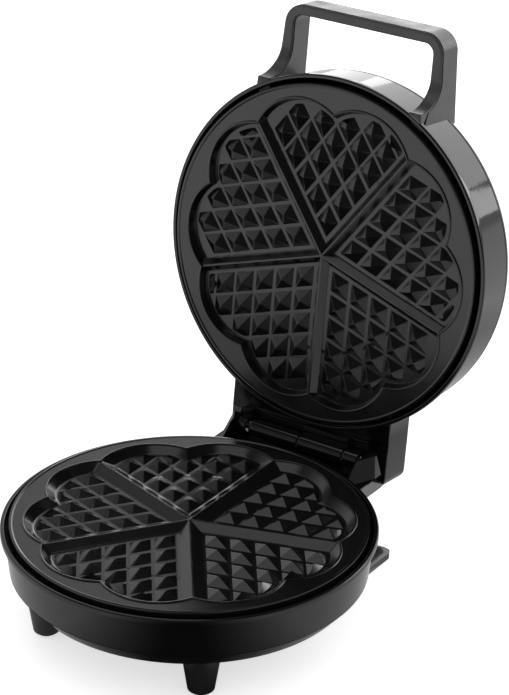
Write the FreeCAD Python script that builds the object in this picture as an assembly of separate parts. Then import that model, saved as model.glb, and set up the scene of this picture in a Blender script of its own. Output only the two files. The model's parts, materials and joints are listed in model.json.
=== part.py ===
"""Heart-pattern waffle maker, standing open: a base and a hinged lid, each a casing with a cast
non-stick plate of five hearts, its tubular heater and a heat shield, on two front feet and a rear stand.

Millimetres, +Z up, the front at -Y and the hinge at +Y. The origin is on the table, under the middle
of the whole open object.
"""
from collections import namedtuple
import FreeCAD, Part
import math
import os

V = FreeCAD.Vector
X_AXIS = V(1, 0, 0)
Z_AXIS = V(0, 0, 1)
ORIGIN = V(0, 0, 0)
FULL_TURN = 360.0

Hearts = namedtuple("Hearts", "recess ridge_half wall_draft border")

# Placement of the base's axis, forward of the middle of the open object
base_axis_y = -41.05

# Casing of the base and of the lid
lip_radius = 105.0
lip_width = 2.5
lip_thickness = 3.5
lip_overhang = 1.8
wall_thickness = 2.4
shelf_width = 20.0
shelf_thickness = 3.0
base_depth = 25.0
base_taper = 2.8
lid_depth = 31.0
lid_taper = 0.8

# Bottom cover and lid cover
bottom_inset = 7.9
bottom_drop = 9.0
cover_thickness = 2.4
dome_shoulder = 7.0
dome_rise = 9.0

# Feet and rear stand, the stand placed from the hinge axis
foot_height = 23.0
foot_top_radius = 10.8
foot_low_radius = 7.4
foot_side_inset = 40.5
foot_front_inset = 29.0
pad_radius = 5.5
pad_depth = 3.0
pad_proud = 1.0
stand_half_width = 62.0
stand_ahead = 31.0
stand_behind = 4.5
stand_thickness = 4.0
stand_corner = 5.0
neck_half_width = 26.0
neck_ahead = 10.5
neck_behind = 2.5

# Hinge, with the bracket and its end cheeks placed from the hinge axis
hinge_setback = 10.0
hinge_z = 0.8
lid_gap = 5.6
open_angle = 96.2
barrel_radius = 5.2
pin_radius = 1.5
pin_fit = 0.05
pin_left = -48.0
pin_right = 50.0
base_knuckles = ((-34.2, -1.0), (30.3, 40.0))
lid_knuckles = ((-42.9, -36.9), (-0.6, 29.8))
knuckle_web = 4.0
bracket_half_width = 53.0
bracket_behind = 4.4
bracket_depth = 9.0
ledge_gap = 0.6
cheek_inner = 43.5
cheek_rise = 5.5
cheek_behind = 3.0
cheek_top_ahead = 10.1
cheek_corner_ahead = 4.0
cheek_skew = 0.475

# Rear block and legs of the lid
leg_inner = 40.8
leg_outer = 54.0
leg_clear = 1.3
leg_thickness = 22.6
leg_reach = 16.2
leg_round = 5.5
block_lap = 21.0
block_gap = 6.0
apron_behind = 2.0

# Cast plates
plate_groove = 2.3
plate_rise = 2.0
rim_thickness = 3.5
rim_width = 8.7
body_wall = 3.5
floor_thickness = 3.0
edge_width = 1.8
edge_height = 0.4
bead_width = 1.8
bead_height = 0.6
ridge_count = 5
cusp_inset = 7.5
cleft_inset = 9.0
lower_hearts = Hearts(recess=3.85, ridge_half=6.7, wall_draft=5.0, border=1.7)
upper_hearts = Hearts(recess=4.2, ridge_half=3.7, wall_draft=1.2, border=2.6)
crest_drop = 0.3
crest_half = 0.5
pyramid_pitch = 14.2
pyramid_side = 11.8
pyramid_drop = 0.4
pyramid_rows = 6
least_pyramid = 4.0

# Plate posts, heaters and heat shields
post_radius = 4.5
post_inset = 8.0
post_angles = (-30.0, 90.0, 210.0)
heater_inset = 33.0
heater_tube = 3.25
heater_gap = 24.0
heater_seat = 0.05
heater_pin = 2.2
heater_pin_length = 15.0
clip_angles = (0.0, 90.0, 180.0)
clip_length = 9.0
clip_width = 16.0
clip_web = 1.2
shield_gap = 4.0
shield_thickness = 0.8
shield_rim = 4.0
shield_hole = 12.0
hole_clearance = 0.4

# Screws
screw_radius = 1.6
screw_fit = 0.05
head_radius = 3.2
head_height = 2.2
cover_boss_radius = 5.0
cover_boss_angles = (30.0, 150.0, -90.0)
screw_bite = 7.0
tip_gap = 1.0

# Electrical pieces
thermostat_radius = 8.5
thermostat_height = 7.0
thermostat_y = -24.0
blade_x = 5.0
blade_size = 3.4
fuse_radius = 2.2
fuse_length = 16.0
fuse_y = 24.0
fuse_strap = 3.0
block_length = 26.0
block_depth = 14.0
block_height = 8.5
block_ahead = 24.0
wire_radius = 1.2
wire_bend = 3.0
wire_level = 3.2
gland_inset = 16.5
gland_bore = 3.5
gland_radius = 6.0
gland_flange = 8.5
gland_flange_thickness = 2.5
gland_inside = 5.0

# Handle, lengths along its legs from the lid's lip and depths from the lid's back edge
handle_half_width = 52.0
handle_root_width = 55.0
handle_clear = 30.5
handle_bar = 6.0
handle_ahead = 9.5
handle_behind = 9.6
handle_cover_thickness = 2.6
handle_outer_round = 12.0
handle_inner_round = 6.0
handle_edge = 0.9
root_depth = 25.0
root_lap = 3.0
sweep_clear = 5.0
sweep_inset = 10.2
strip_tail = 3.0
handle_seat = 0.05
handle_joint = 0.05
handle_screw_x = 49.0
handle_screw_ahead = 4.0
handle_screw_length = 14.0

# Indicator lamps on the lid cover
lamp_x = 11.0
lamp_inset = 44.4
lamp_radius = 4.2
lamp_flange = 5.4
lamp_proud = 1.4
lamp_bulb_radius = 2.6
board_half_width = 20.0
board_half_depth = 8.0
board_thickness = 1.6
board_depth = 4.0
board_post_radius = 3.0
board_post_x = 17.0

# How far a cut runs past the face it opens, and how close counts as flat
over = 1.0
flat = 0.01

# Radii worked out from the casing's lip
lip_inner = lip_radius - lip_width
wall_top_radius = lip_radius - lip_overhang
base_low_radius = wall_top_radius - base_taper
lid_low_radius = wall_top_radius - lid_taper
bottom_radius = base_low_radius - bottom_inset
shelf_inner = base_low_radius - wall_thickness - shelf_width
post_circle = shelf_inner + post_inset
shield_radius = base_low_radius - wall_thickness - shield_gap
plate_radius = lip_inner - plate_groove
lobe_radius = plate_radius - rim_width
cusp_radius = lobe_radius - cusp_inset
cleft_radius = lobe_radius - cleft_inset
body_radius = lobe_radius + body_wall
heater_circle = body_radius - heater_inset
foot_x = bottom_radius - foot_side_inset
foot_y = foot_front_inset - bottom_radius
gland_y = bottom_radius - gland_inset
block_y = gland_y - block_ahead
lamp_y = lamp_inset - lid_low_radius
ridge_step = FULL_TURN / ridge_count
first_ridge = 90.0 - ridge_step

# Heights worked out from the base's lip plane
lip_height = base_depth + bottom_drop + foot_height
pyramid_peak = plate_rise - pyramid_drop
plate_bottom = plate_rise - max(lower_hearts.recess, upper_hearts.recess) - floor_thickness
heater_z = plate_bottom - heater_seat - heater_tube
bottom_level = -base_depth - bottom_drop
cover_floor = bottom_level + cover_thickness
foot_bottom = bottom_level - foot_height

# Places worked out from the hinge axis
hinge_y = lip_radius + hinge_setback
bracket_front = lip_radius - hinge_setback
bracket_back = hinge_y + bracket_behind
bracket_ledge = hinge_z - barrel_radius - ledge_gap
bracket_bottom = bracket_ledge - bracket_depth
cheek_top = hinge_z + cheek_rise
cheek_corner = hinge_y - cheek_corner_ahead
cheek_back = hinge_y + cheek_behind
neck_front = hinge_y - neck_ahead
neck_back = hinge_y + neck_behind
stand_front = hinge_y - stand_ahead
stand_back = hinge_y + stand_behind
leg_low = cheek_top + leg_clear
leg_high = leg_low + leg_thickness
leg_end = hinge_y + leg_reach
block_front = lip_radius - block_lap
block_back = hinge_y - block_gap

# Places along the handle worked out from the lid's lip and back edge
handle_reach = lip_radius + handle_clear
handle_front = lid_depth - handle_ahead
handle_back = lid_depth + handle_behind
handle_screw_depth = lid_depth - handle_screw_ahead
root_reach = lip_radius - root_depth
sweep_start = lip_radius + sweep_clear
sweep_drop = sweep_clear + sweep_inset


def at_angle(radius, degrees, z=0.0):
    """Point on a circle about the Z axis."""
    turn = math.radians(degrees)
    return V(radius * math.cos(turn), radius * math.sin(turn), z)


def segment(start, end):
    return Part.LineSegment(start, end).toShape()


def arc(start, middle, end):
    return Part.Arc(start, middle, end).toShape()


def ring(points):
    """Solid of revolution about Z of a closed outline given as (radius, height) points."""
    outline = Part.makePolygon([V(r, 0, z) for r, z in points + points[:1]])
    return Part.Face(outline).revolve(ORIGIN, Z_AXIS, FULL_TURN)


def cylinder(radius, low, high, x=0.0, y=0.0):
    return Part.makeCylinder(radius, high - low, V(x, y, low))


def block(x0, x1, y0, y1, z0, z1):
    return Part.makeBox(x1 - x0, y1 - y0, z1 - z0, V(x0, y0, z0))


def x_cylinder(radius, x0, x1):
    """Cylinder on the hinge axis."""
    return Part.makeCylinder(radius, x1 - x0, V(x0, hinge_y, hinge_z), X_AXIS)


def faceted(faces):
    """Solid bounded by flat faces, each a list of its corners."""
    shell = Part.Shell([Part.Face(Part.makePolygon(points + points[:1])) for points in faces])
    solid = Part.Solid(shell)
    if solid.Volume < 0:
        solid.reverse()
    return solid


def joined(shapes):
    """One solid from shapes that overlap."""
    return shapes[0].multiFuse(shapes[1:]).removeSplitter()


def group(shapes):
    return Part.makeCompound(shapes)


def turned(shape, degrees):
    copy = shape.copy()
    copy.rotate(ORIGIN, Z_AXIS, degrees)
    return copy


def flipped(shape):
    """Base-side shape carried over to the lid, closed above it."""
    return shape.mirror(V(0, 0, lid_gap / 2), Z_AXIS)


def bent_tube(points, radius):
    """Round tube along straight runs joined by tangent arcs of the wire's bend radius."""
    edges = []
    start = points[0]
    for before, corner, after in zip(points, points[1:], points[2:]):
        back = (before - corner).normalize()
        ahead = (after - corner).normalize()
        half = back.getAngle(ahead) / 2
        reach = wire_bend / math.tan(half)
        bisector = (back + ahead).normalize()
        centre = corner + bisector * (wire_bend / math.sin(half))
        first = corner + back * reach
        last = corner + ahead * reach
        edges.append(segment(start, first))
        edges.append(arc(first, centre - bisector * wire_bend, last))
        start = last
    edges.append(segment(start, points[-1]))
    path = Part.Wire(edges)
    circle = Part.Circle(points[0], points[1] - points[0], radius).toShape()
    return path.makePipeShell([Part.Wire(circle)], True, True)


def wall_radius(depth, low_radius, z):
    """Outer radius of a casing's tapered wall at a height below its lip."""
    return wall_top_radius + (low_radius - wall_top_radius) * (-z) / depth


def casing_outside(depth, low_radius, grow=0.0):
    """Filled outer form of a casing: an overhanging lip over a slightly tapered wall."""
    return ring([
        (0, 0),
        (lip_radius + grow, 0),
        (lip_radius + grow, -lip_thickness - grow),
        (wall_radius(depth, low_radius, -lip_thickness) + grow, -lip_thickness - grow),
        (low_radius + grow, -depth),
        (0, -depth),
    ])


def casing_inside(depth, low_radius):
    """Hollow of a casing: its well above the inner shelf, and the hole through the shelf."""
    shelf_top = -depth + shelf_thickness
    return ring([
        (0, over),
        (lip_inner, over),
        (lip_inner, -lip_thickness),
        (wall_radius(depth, low_radius, -lip_thickness) - wall_thickness, -lip_thickness),
        (wall_radius(depth, low_radius, shelf_top) - wall_thickness, shelf_top),
        (low_radius - wall_thickness - shelf_width, shelf_top),
        (low_radius - wall_thickness - shelf_width, -depth - over),
        (0, -depth - over),
    ])


def screw(length, head=head_height):
    """Pan-head screw standing on its head's underside: shank up, head down."""
    return joined([cylinder(screw_radius, 0, length), cylinder(head_radius, -head, 0)])


def screw_hole(low, high, point):
    return cylinder(screw_radius + screw_fit, low, high, point.x, point.y)


def moved(shape, point):
    copy = shape.copy()
    copy.translate(point)
    return copy


# Flower of hearts


def lobe_circle(first_angle, first_radius, last_angle, last_radius):
    """Circle through a lobe's two ends and its crown."""
    crown = at_angle(lobe_radius, (first_angle + last_angle) / 2)
    lobe = Part.Circle(at_angle(first_radius, first_angle), crown, at_angle(last_radius, last_angle))
    return lobe.Center, lobe.Radius


def meeting_point(centre_a, radius_a, centre_b, radius_b):
    """The outer of the two points where two circles cross."""
    apart = centre_b - centre_a
    distance = apart.Length
    along = (distance ** 2 + radius_a ** 2 - radius_b ** 2) / (2 * distance)
    across = math.sqrt(radius_a ** 2 - along ** 2)
    unit = apart * (1 / distance)
    foot = centre_a + unit * along
    side = V(-unit.y, unit.x, 0)
    return max(foot + side * across, foot - side * across, key=lambda p: p.Length)


def line_meets_circle(start, direction, centre, radius):
    """The far point where a line crosses a circle."""
    offset = start - centre
    along = offset.dot(direction)
    return start + direction * (-along + math.sqrt(along ** 2 - offset.dot(offset) + radius ** 2))


def flower_lobes():
    """Centres and radii of the lobes, two to a heart, anticlockwise from the first ridge."""
    lobes = []
    for heart in range(ridge_count):
        ridge = first_ridge + heart * ridge_step
        cleft = ridge + ridge_step / 2
        lobes.append(lobe_circle(ridge, cusp_radius, cleft, cleft_radius))
        lobes.append(lobe_circle(cleft, cleft_radius, ridge + ridge_step, cusp_radius))
    return lobes


def flower_face(z, grow=0.0):
    """Outline of all the hearts together, moved outwards by grow."""
    lobes = [(centre, radius + grow) for centre, radius in flower_lobes()]
    corners = [meeting_point(*lobes[i - 1], *lobes[i]) for i in range(len(lobes))]
    edges = []
    for i, (centre, radius) in enumerate(lobes):
        start = corners[i]
        end = corners[(i + 1) % len(lobes)]
        middle = centre + ((start + end) * 0.5 - centre).normalize() * radius
        edges.append(arc(start, middle, end))
    face = Part.Face(Part.Wire(edges))
    face.translate(V(0, 0, z))
    return face


def heart_wire(z, ridge_offset, inset):
    """One heart beside the first ridge: two lobes and the two ridges that meet at the middle."""
    ridge_a = at_angle(1, first_ridge)
    ridge_b = at_angle(1, first_ridge + ridge_step)
    middle = at_angle(1, first_ridge + ridge_step / 2)
    normal_a = V(-ridge_a.y, ridge_a.x, 0)
    normal_b = V(ridge_b.y, -ridge_b.x, 0)
    (centre_a, radius_a), (centre_b, radius_b) = flower_lobes()[:2]
    tip = middle * (ridge_offset / math.sin(math.radians(ridge_step / 2)))
    end_a = line_meets_circle(normal_a * ridge_offset, ridge_a, centre_a, radius_a - inset)
    end_b = line_meets_circle(normal_b * ridge_offset, ridge_b, centre_b, radius_b - inset)
    cleft = line_meets_circle(ORIGIN, middle, centre_a, radius_a - inset)
    crown_a = centre_a + ((end_a + cleft) * 0.5 - centre_a).normalize() * (radius_a - inset)
    crown_b = centre_b + ((end_b + cleft) * 0.5 - centre_b).normalize() * (radius_b - inset)
    wire = Part.Wire([
        segment(tip, end_a),
        arc(end_a, crown_a, cleft),
        arc(cleft, crown_b, end_b),
        segment(end_b, tip),
    ])
    wire.translate(V(0, 0, z))
    return wire


def pyramid(corner, side_a, side_b, floor):
    """Sharp pyramid on a rhombus, carried a little below the recess floor."""
    foot = [corner, corner + side_a, corner + side_a + side_b, corner + side_b]
    base = [V(p.x, p.y, floor - floor_thickness / 2) for p in foot]
    brim = [V(p.x, p.y, floor) for p in foot]
    peak = corner + (side_a + side_b) * 0.5 + V(0, 0, pyramid_peak)
    faces = [base]
    for i in range(4):
        j = (i + 1) % 4
        faces.append([base[i], base[j], brim[j], brim[i]])
        faces.append([brim[i], brim[j], peak])
    return faceted(faces)


def pyramid_bed(hearts, floor):
    """Space that one heart's pyramids may fill, sloping in from a channel round the lobes."""
    inset = hearts.wall_draft + hearts.border
    low = floor - floor_thickness / 2
    return Part.makeLoft([
        heart_wire(low, hearts.ridge_half, inset + low - floor),
        heart_wire(pyramid_peak + over, hearts.ridge_half, inset + pyramid_peak + over - floor),
    ], True, True)


def heart_pocket(hearts):
    """Space of one heart's recess: sloping ridge sides, drafted lobes, pyramids left standing."""
    floor = plate_rise - hearts.recess
    foot = heart_wire(floor, hearts.ridge_half, hearts.wall_draft)
    mouth = heart_wire(plate_rise - crest_drop, crest_half, 0.0)
    pocket = Part.makeLoft([foot, mouth], True, True)
    bed = pyramid_bed(hearts, floor)
    along_a = at_angle(1, first_ridge)
    along_b = at_angle(1, first_ridge + ridge_step)
    first = (hearts.ridge_half + hearts.border) / math.sin(math.radians(ridge_step))
    teeth = []
    for i in range(pyramid_rows):
        for j in range(pyramid_rows):
            corner = along_a * (first + i * pyramid_pitch) + along_b * (first + j * pyramid_pitch)
            tooth = pyramid(corner, along_a * pyramid_side, along_b * pyramid_side, floor).common(bed)
            if tooth.common(pocket).Volume > least_pyramid:
                teeth.append(tooth)
    return pocket.cut(group(teeth))


def plate(depth, hearts):
    """Cast plate: raised edge, beaded flower, five hearts of pyramids, posts down to the shelf."""
    rim_bottom = plate_rise - rim_thickness
    body = joined([
        cylinder(plate_radius, rim_bottom, plate_rise),
        cylinder(body_radius, plate_bottom, rim_bottom),
    ])
    edge = ring([
        (plate_radius - edge_width, plate_rise),
        (plate_radius, plate_rise),
        (plate_radius - edge_height, plate_rise + edge_height),
        (plate_radius - edge_width + edge_height, plate_rise + edge_height),
    ])
    bead = flower_face(plate_rise, bead_width).extrude(V(0, 0, bead_height))
    opening = flower_face(plate_rise - crest_drop).extrude(V(0, 0, crest_drop + 2 * bead_height))
    pocket = heart_pocket(hearts)
    pockets = [turned(pocket, i * ridge_step) for i in range(ridge_count)]
    cast = body.multiFuse([edge, bead]).cut(opening).cut(group(pockets))
    shelf_top = -depth + shelf_thickness
    for angle in post_angles:
        foot = at_angle(post_circle, angle)
        cast = cast.fuse(cylinder(post_radius, shelf_top, plate_bottom, foot.x, foot.y))
        cast = cast.cut(screw_hole(shelf_top - over, shelf_top + screw_bite, foot))
    return cast


def plate_screws(depth):
    """Screws from under the shelf up into the plate's posts."""
    length = shelf_thickness + screw_bite - tip_gap
    return group([moved(screw(length), at_angle(post_circle, angle, -depth)) for angle in post_angles])


def heater_ends():
    return [at_angle(heater_circle, -90 + turn, heater_z) for turn in (-heater_gap / 2, heater_gap / 2)]


def heater():
    """Tubular ring under the plate, open at one side, with two pins turned away from the plate."""
    end_turn = math.degrees(heater_tube / heater_circle)
    open_turn = heater_gap - 2 * end_turn
    tube = Part.Circle(V(heater_circle, 0, heater_z), V(0, 1, 0), heater_tube).toShape()
    coil = Part.Face(Part.Wire(tube)).revolve(ORIGIN, Z_AXIS, FULL_TURN - open_turn)
    coil.rotate(ORIGIN, Z_AXIS, -90 + open_turn / 2)
    pins = [cylinder(heater_pin, end.z - heater_pin_length, end.z, end.x, end.y) for end in heater_ends()]
    return joined([coil] + pins)


def heater_clips():
    """Saddles that hold the heater's tube against the plate."""
    low = heater_z - heater_tube - clip_web
    saddle = block(heater_circle - clip_width / 2, heater_circle + clip_width / 2,
                   -clip_length / 2, clip_length / 2, low, plate_bottom)
    groove = Part.makeTorus(heater_circle, heater_tube + heater_seat, V(0, 0, heater_z), Z_AXIS)
    slot = ring([
        (heater_circle - heater_tube - heater_seat, heater_z),
        (heater_circle + heater_tube + heater_seat, heater_z),
        (heater_circle + heater_tube + heater_seat, plate_bottom + over),
        (heater_circle - heater_tube - heater_seat, plate_bottom + over),
    ])
    saddle = saddle.cut(groove).cut(slot)
    return group([turned(saddle, angle) for angle in clip_angles])


def heat_shield(depth, wiring_hole):
    """Thin dished steel disc on the shelf, with holes for posts, screws, heater pins and wiring."""
    low = -depth + shelf_thickness
    high = low + shield_thickness
    disc = ring([
        (0, low),
        (shield_radius, low),
        (shield_radius, high + shield_rim),
        (shield_radius - shield_thickness, high + shield_rim),
        (shield_radius - shield_thickness, high),
        (0, high),
    ])
    holes = [cylinder(post_radius + hole_clearance, low - over, high + over, p.x, p.y)
             for p in (at_angle(post_circle, angle) for angle in post_angles)]
    holes += [cylinder(screw_radius + hole_clearance, low - over, high + over, p.x, p.y)
              for p in (at_angle(post_circle, angle) for angle in cover_boss_angles)]
    holes += [cylinder(heater_pin + hole_clearance, low - over, high + over, p.x, p.y)
              for p in heater_ends()]
    holes.append(cylinder(wiring_hole, low - over, high + over, 0, thermostat_y))
    return disc.cut(group(holes))


# Base


def end_cheek(side):
    """Upright at one end of the bracket, with a slanted front that leans back and narrows upwards."""
    front = cheek_corner - (bracket_half_width - cheek_inner) / cheek_skew
    top_front = hinge_y - cheek_top_ahead
    top_outer = cheek_inner + (cheek_back - top_front) * cheek_skew
    low = [V(side * x, y, bracket_ledge) for x, y in (
        (cheek_inner, front), (bracket_half_width, cheek_corner),
        (bracket_half_width, cheek_back), (cheek_inner, cheek_back))]
    high = [V(side * x, y, cheek_top) for x, y in (
        (cheek_inner, top_front), (top_outer, cheek_back), (cheek_inner, cheek_back))]
    return faceted([
        low,
        high,
        [low[0], low[1], high[1], high[0]],
        [low[1], low[2], high[1]],
        [low[2], low[3], high[2], high[1]],
        [low[3], low[0], high[0], high[2]],
    ])


def hinge_bracket():
    """Block behind the base's wall: a ledge under the barrel, two end cheeks and the base's knuckles."""
    ledge = block(-bracket_half_width, bracket_half_width, bracket_front, bracket_back,
                  bracket_bottom, bracket_ledge)
    pieces = [ledge, end_cheek(-1), end_cheek(1)]
    for x0, x1 in base_knuckles:
        pieces.append(x_cylinder(barrel_radius, x0, x1))
        pieces.append(block(x0, x1, hinge_y - knuckle_web, hinge_y + knuckle_web, bracket_ledge, hinge_z))
    return joined(pieces)


def stand_screw_points():
    return [V(side * neck_half_width / 2, (neck_front + neck_back) / 2, bracket_bottom)
            for side in (-1, 1)]


def base_shell():
    """Base casing with its inner shelf, moulded with the hinge bracket."""
    shell = casing_outside(base_depth, base_low_radius).fuse(hinge_bracket())
    shell = shell.cut(casing_inside(base_depth, base_low_radius))
    cuts = [x_cylinder(pin_radius + pin_fit, pin_left, bracket_half_width + over)]
    for point in stand_screw_points():
        cuts.append(screw_hole(bracket_bottom - over, bracket_bottom + screw_bite, point))
    shelf_top = -base_depth + shelf_thickness
    for angle in post_angles:
        cuts.append(screw_hole(-base_depth - over, shelf_top + over, at_angle(post_circle, angle)))
    for angle in cover_boss_angles:
        cuts.append(screw_hole(-base_depth - over, shelf_top + over, at_angle(post_circle, angle)))
    return shell.cut(group(cuts)).removeSplitter()


def foot_points():
    return [V(side * foot_x, foot_y, bottom_level) for side in (-1, 1)]


def base_bottom_cover():
    """Shallow pan with a sloping edge, screw bosses up to the shelf and a hole for the cord gland."""
    slope = (base_low_radius - bottom_radius) / bottom_drop
    inner_low = bottom_radius + slope * cover_thickness - wall_thickness
    pan = ring([
        (0, bottom_level),
        (bottom_radius, bottom_level),
        (base_low_radius, -base_depth),
        (base_low_radius - wall_thickness, -base_depth),
        (inner_low, cover_floor),
        (0, cover_floor),
    ])
    bosses = []
    cuts = [cylinder(gland_radius, bottom_level - over, cover_floor + over, 0, gland_y)]
    for angle in cover_boss_angles:
        spot = at_angle(post_circle, angle)
        bosses.append(cylinder(cover_boss_radius, bottom_level, -base_depth, spot.x, spot.y))
        cuts.append(screw_hole(bottom_level - over, -base_depth + over, spot))
        cuts.append(cylinder(head_radius + screw_fit, bottom_level - over, bottom_level + head_height,
                             spot.x, spot.y))
    for spot in foot_points():
        cuts.append(screw_hole(bottom_level - over, cover_floor + over, spot))
    return pan.multiFuse(bosses).cut(group(cuts)).removeSplitter()


def bottom_cover_screws():
    length = bottom_drop - head_height + shelf_thickness
    return group([moved(screw(length), at_angle(post_circle, angle, bottom_level + head_height))
                  for angle in cover_boss_angles])


def front_foot(spot):
    """Tapered foot with a blind screw hole above and a pocket for its rubber pad below."""
    low = foot_bottom + pad_proud
    cone = Part.makeCone(foot_low_radius, foot_top_radius, bottom_level - low, V(spot.x, spot.y, low))
    pad_pocket = cylinder(pad_radius, low - over, foot_bottom + pad_depth, spot.x, spot.y)
    hole = screw_hole(bottom_level - screw_bite, bottom_level + over, spot)
    return cone.cut(group([pad_pocket, hole]))


def foot_pads():
    return group([cylinder(pad_radius, foot_bottom, foot_bottom + pad_depth, p.x, p.y)
                  for p in foot_points()])


def foot_screws():
    """Screws inside the bottom cover, heads up, down into the feet."""
    length = cover_thickness + screw_bite - tip_gap
    down = screw(length)
    down.rotate(ORIGIN, X_AXIS, 180)
    return group([moved(down, V(p.x, p.y, cover_floor)) for p in foot_points()])


def cord_wrap():
    """Rear stand: a neck below the hinge bracket, which the cord winds round, on a broad flat plate."""
    top = foot_bottom + stand_thickness
    plate_body = block(-stand_half_width, stand_half_width, stand_front, stand_back, foot_bottom, top)
    uprights = [e for e in plate_body.Edges if e.BoundBox.ZLength > flat]
    plate_body = plate_body.makeFillet(stand_corner, uprights)
    neck = block(-neck_half_width, neck_half_width, neck_front, neck_back, foot_bottom, bracket_bottom)
    cuts = []
    for point in stand_screw_points():
        cuts.append(screw_hole(bracket_bottom - screw_bite - over, bracket_bottom + over, point))
        cuts.append(cylinder(head_radius + hole_clearance, foot_bottom - over, bracket_bottom - screw_bite,
                             point.x, point.y))
    return joined([plate_body, neck]).cut(group(cuts))


def cord_wrap_screws():
    length = 2 * screw_bite - tip_gap
    return group([moved(screw(length), p - V(0, 0, screw_bite)) for p in stand_screw_points()])


def hinge_pin():
    return x_cylinder(pin_radius, pin_left, pin_right)


def thermostat():
    """Disc thermostat under the plate with two blades for the wires."""
    low = plate_bottom - thermostat_height
    pieces = [cylinder(thermostat_radius, low, plate_bottom, 0, thermostat_y)]
    for side in (-1, 1):
        x = side * blade_x
        pieces.append(block(x - blade_size / 2, x + blade_size / 2, thermostat_y - blade_size / 4,
                            thermostat_y + blade_size / 4, low - blade_size, low))
    return joined(pieces)


def thermal_fuse():
    """Fuse sleeve in a strap against the plate."""
    end = V(-fuse_length / 2, fuse_y, plate_bottom - fuse_radius)
    sleeve = Part.makeCylinder(fuse_radius, fuse_length, end, X_AXIS)
    strap = block(-fuse_strap / 2, fuse_strap / 2, fuse_y - 2 * fuse_radius, fuse_y + 2 * fuse_radius,
                  plate_bottom - 2 * fuse_radius - clip_web, plate_bottom)
    return joined([sleeve, strap])


def terminal_block():
    """Screw terminal block on the bottom cover's floor, with two clamp screws' wells."""
    body = block(-block_length / 2, block_length / 2, block_y - block_depth / 2, block_y + block_depth / 2,
                 cover_floor, cover_floor + block_height)
    wells = [cylinder(head_radius, cover_floor + block_height / 2, cover_floor + block_height + over,
                      side * block_length / 4, block_y) for side in (-1, 1)]
    return body.cut(group(wells))


def base_wires():
    """Insulated leads: supply to thermostat, supply to one heater pin, thermostat to the other pin."""
    level = cover_floor + wire_level
    face = block_y - block_depth / 2
    blade_low = plate_bottom - thermostat_height - blade_size
    left_pin, right_pin = heater_ends()
    pin_low = heater_z - heater_pin_length
    to_thermostat = [V(blade_x, face, level), V(blade_x, thermostat_y, level),
                     V(blade_x, thermostat_y, blade_low)]
    to_heater = [V(left_pin.x, face, level), V(left_pin.x, left_pin.y, level),
                 V(left_pin.x, left_pin.y, pin_low)]
    across = [V(-blade_x, thermostat_y, blade_low), V(-blade_x, thermostat_y, level),
              V(right_pin.x, right_pin.y, level), V(right_pin.x, right_pin.y, pin_low)]
    return group([bent_tube(route, wire_radius) for route in (to_thermostat, to_heater, across)])


def cord_gland():
    """Flanged bushing in the bottom cover that the supply cord would come out of."""
    bush = ring([
        (gland_bore, bottom_level - gland_flange_thickness),
        (gland_flange, bottom_level - gland_flange_thickness),
        (gland_flange, bottom_level),
        (gland_radius, bottom_level),
        (gland_radius, cover_floor + gland_inside),
        (gland_bore, cover_floor + gland_inside),
    ])
    return moved(bush, V(0, gland_y, 0))


# Lid, made closed above the base and then opened


def lid_leg(side):
    """Tongue behind the rear block: a half-round end seen from the front, rounded off at its back."""
    half = (leg_outer - leg_inner) / 2
    middle = side * (leg_outer + leg_inner) / 2
    left = middle - half
    right = middle + half
    y_round = leg_end - half
    front_view = Part.Wire([
        segment(V(left, block_front, leg_low), V(left, y_round, leg_low)),
        arc(V(left, y_round, leg_low), V(middle, leg_end, leg_low), V(right, y_round, leg_low)),
        segment(V(right, y_round, leg_low), V(right, block_front, leg_low)),
        segment(V(right, block_front, leg_low), V(left, block_front, leg_low)),
    ])
    tongue = Part.Face(front_view).extrude(V(0, 0, leg_thickness + over))
    x = left - over
    low = leg_low - over
    far = leg_end + over
    bend = leg_round + over
    corner = bend * (1 - math.sqrt(0.5))
    side_view = Part.Wire([
        segment(V(x, block_front, low), V(x, far, low)),
        segment(V(x, far, low), V(x, far, leg_high - bend)),
        arc(V(x, far, leg_high - bend), V(x, far - corner, leg_high - corner), V(x, far - bend, leg_high)),
        segment(V(x, far - bend, leg_high), V(x, block_front, leg_high)),
        segment(V(x, block_front, leg_high), V(x, block_front, low)),
    ])
    return tongue.common(Part.Face(side_view).extrude(V(2 * (half + over), 0, 0)))


def lid_block():
    """Rear block with its apron behind the barrel, and the two legs that hang behind the open bracket."""
    apron_low = hinge_z + barrel_radius + ledge_gap
    pieces = [
        block(-leg_outer, leg_outer, block_front, block_back, leg_low, leg_high),
        block(-leg_inner, leg_inner, block_back - knuckle_web, hinge_y + apron_behind, apron_low, leg_high),
        lid_leg(-1),
        lid_leg(1),
    ]
    for x0, x1 in lid_knuckles:
        pieces.append(x_cylinder(barrel_radius, x0, x1))
        pieces.append(block(x0, x1, block_back - knuckle_web, hinge_y + knuckle_web / 2, hinge_z,
                            leg_low + knuckle_web))
    return joined(pieces)


def handle_screw_spots():
    return [V(side * handle_screw_x, 0, -handle_screw_depth) for side in (-1, 1)]


def handle_screw_start(spot):
    """Point on the inside of the lid's wall where a handle screw's head sits."""
    inside = wall_radius(lid_depth, lid_low_radius, spot.z) - wall_thickness
    return -math.sqrt(inside ** 2 - (abs(spot.x) + head_radius) ** 2)


def forward_cylinder(radius, spot, start, length):
    return Part.makeCylinder(radius, length, V(spot.x, start, spot.z), V(0, -1, 0))


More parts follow.
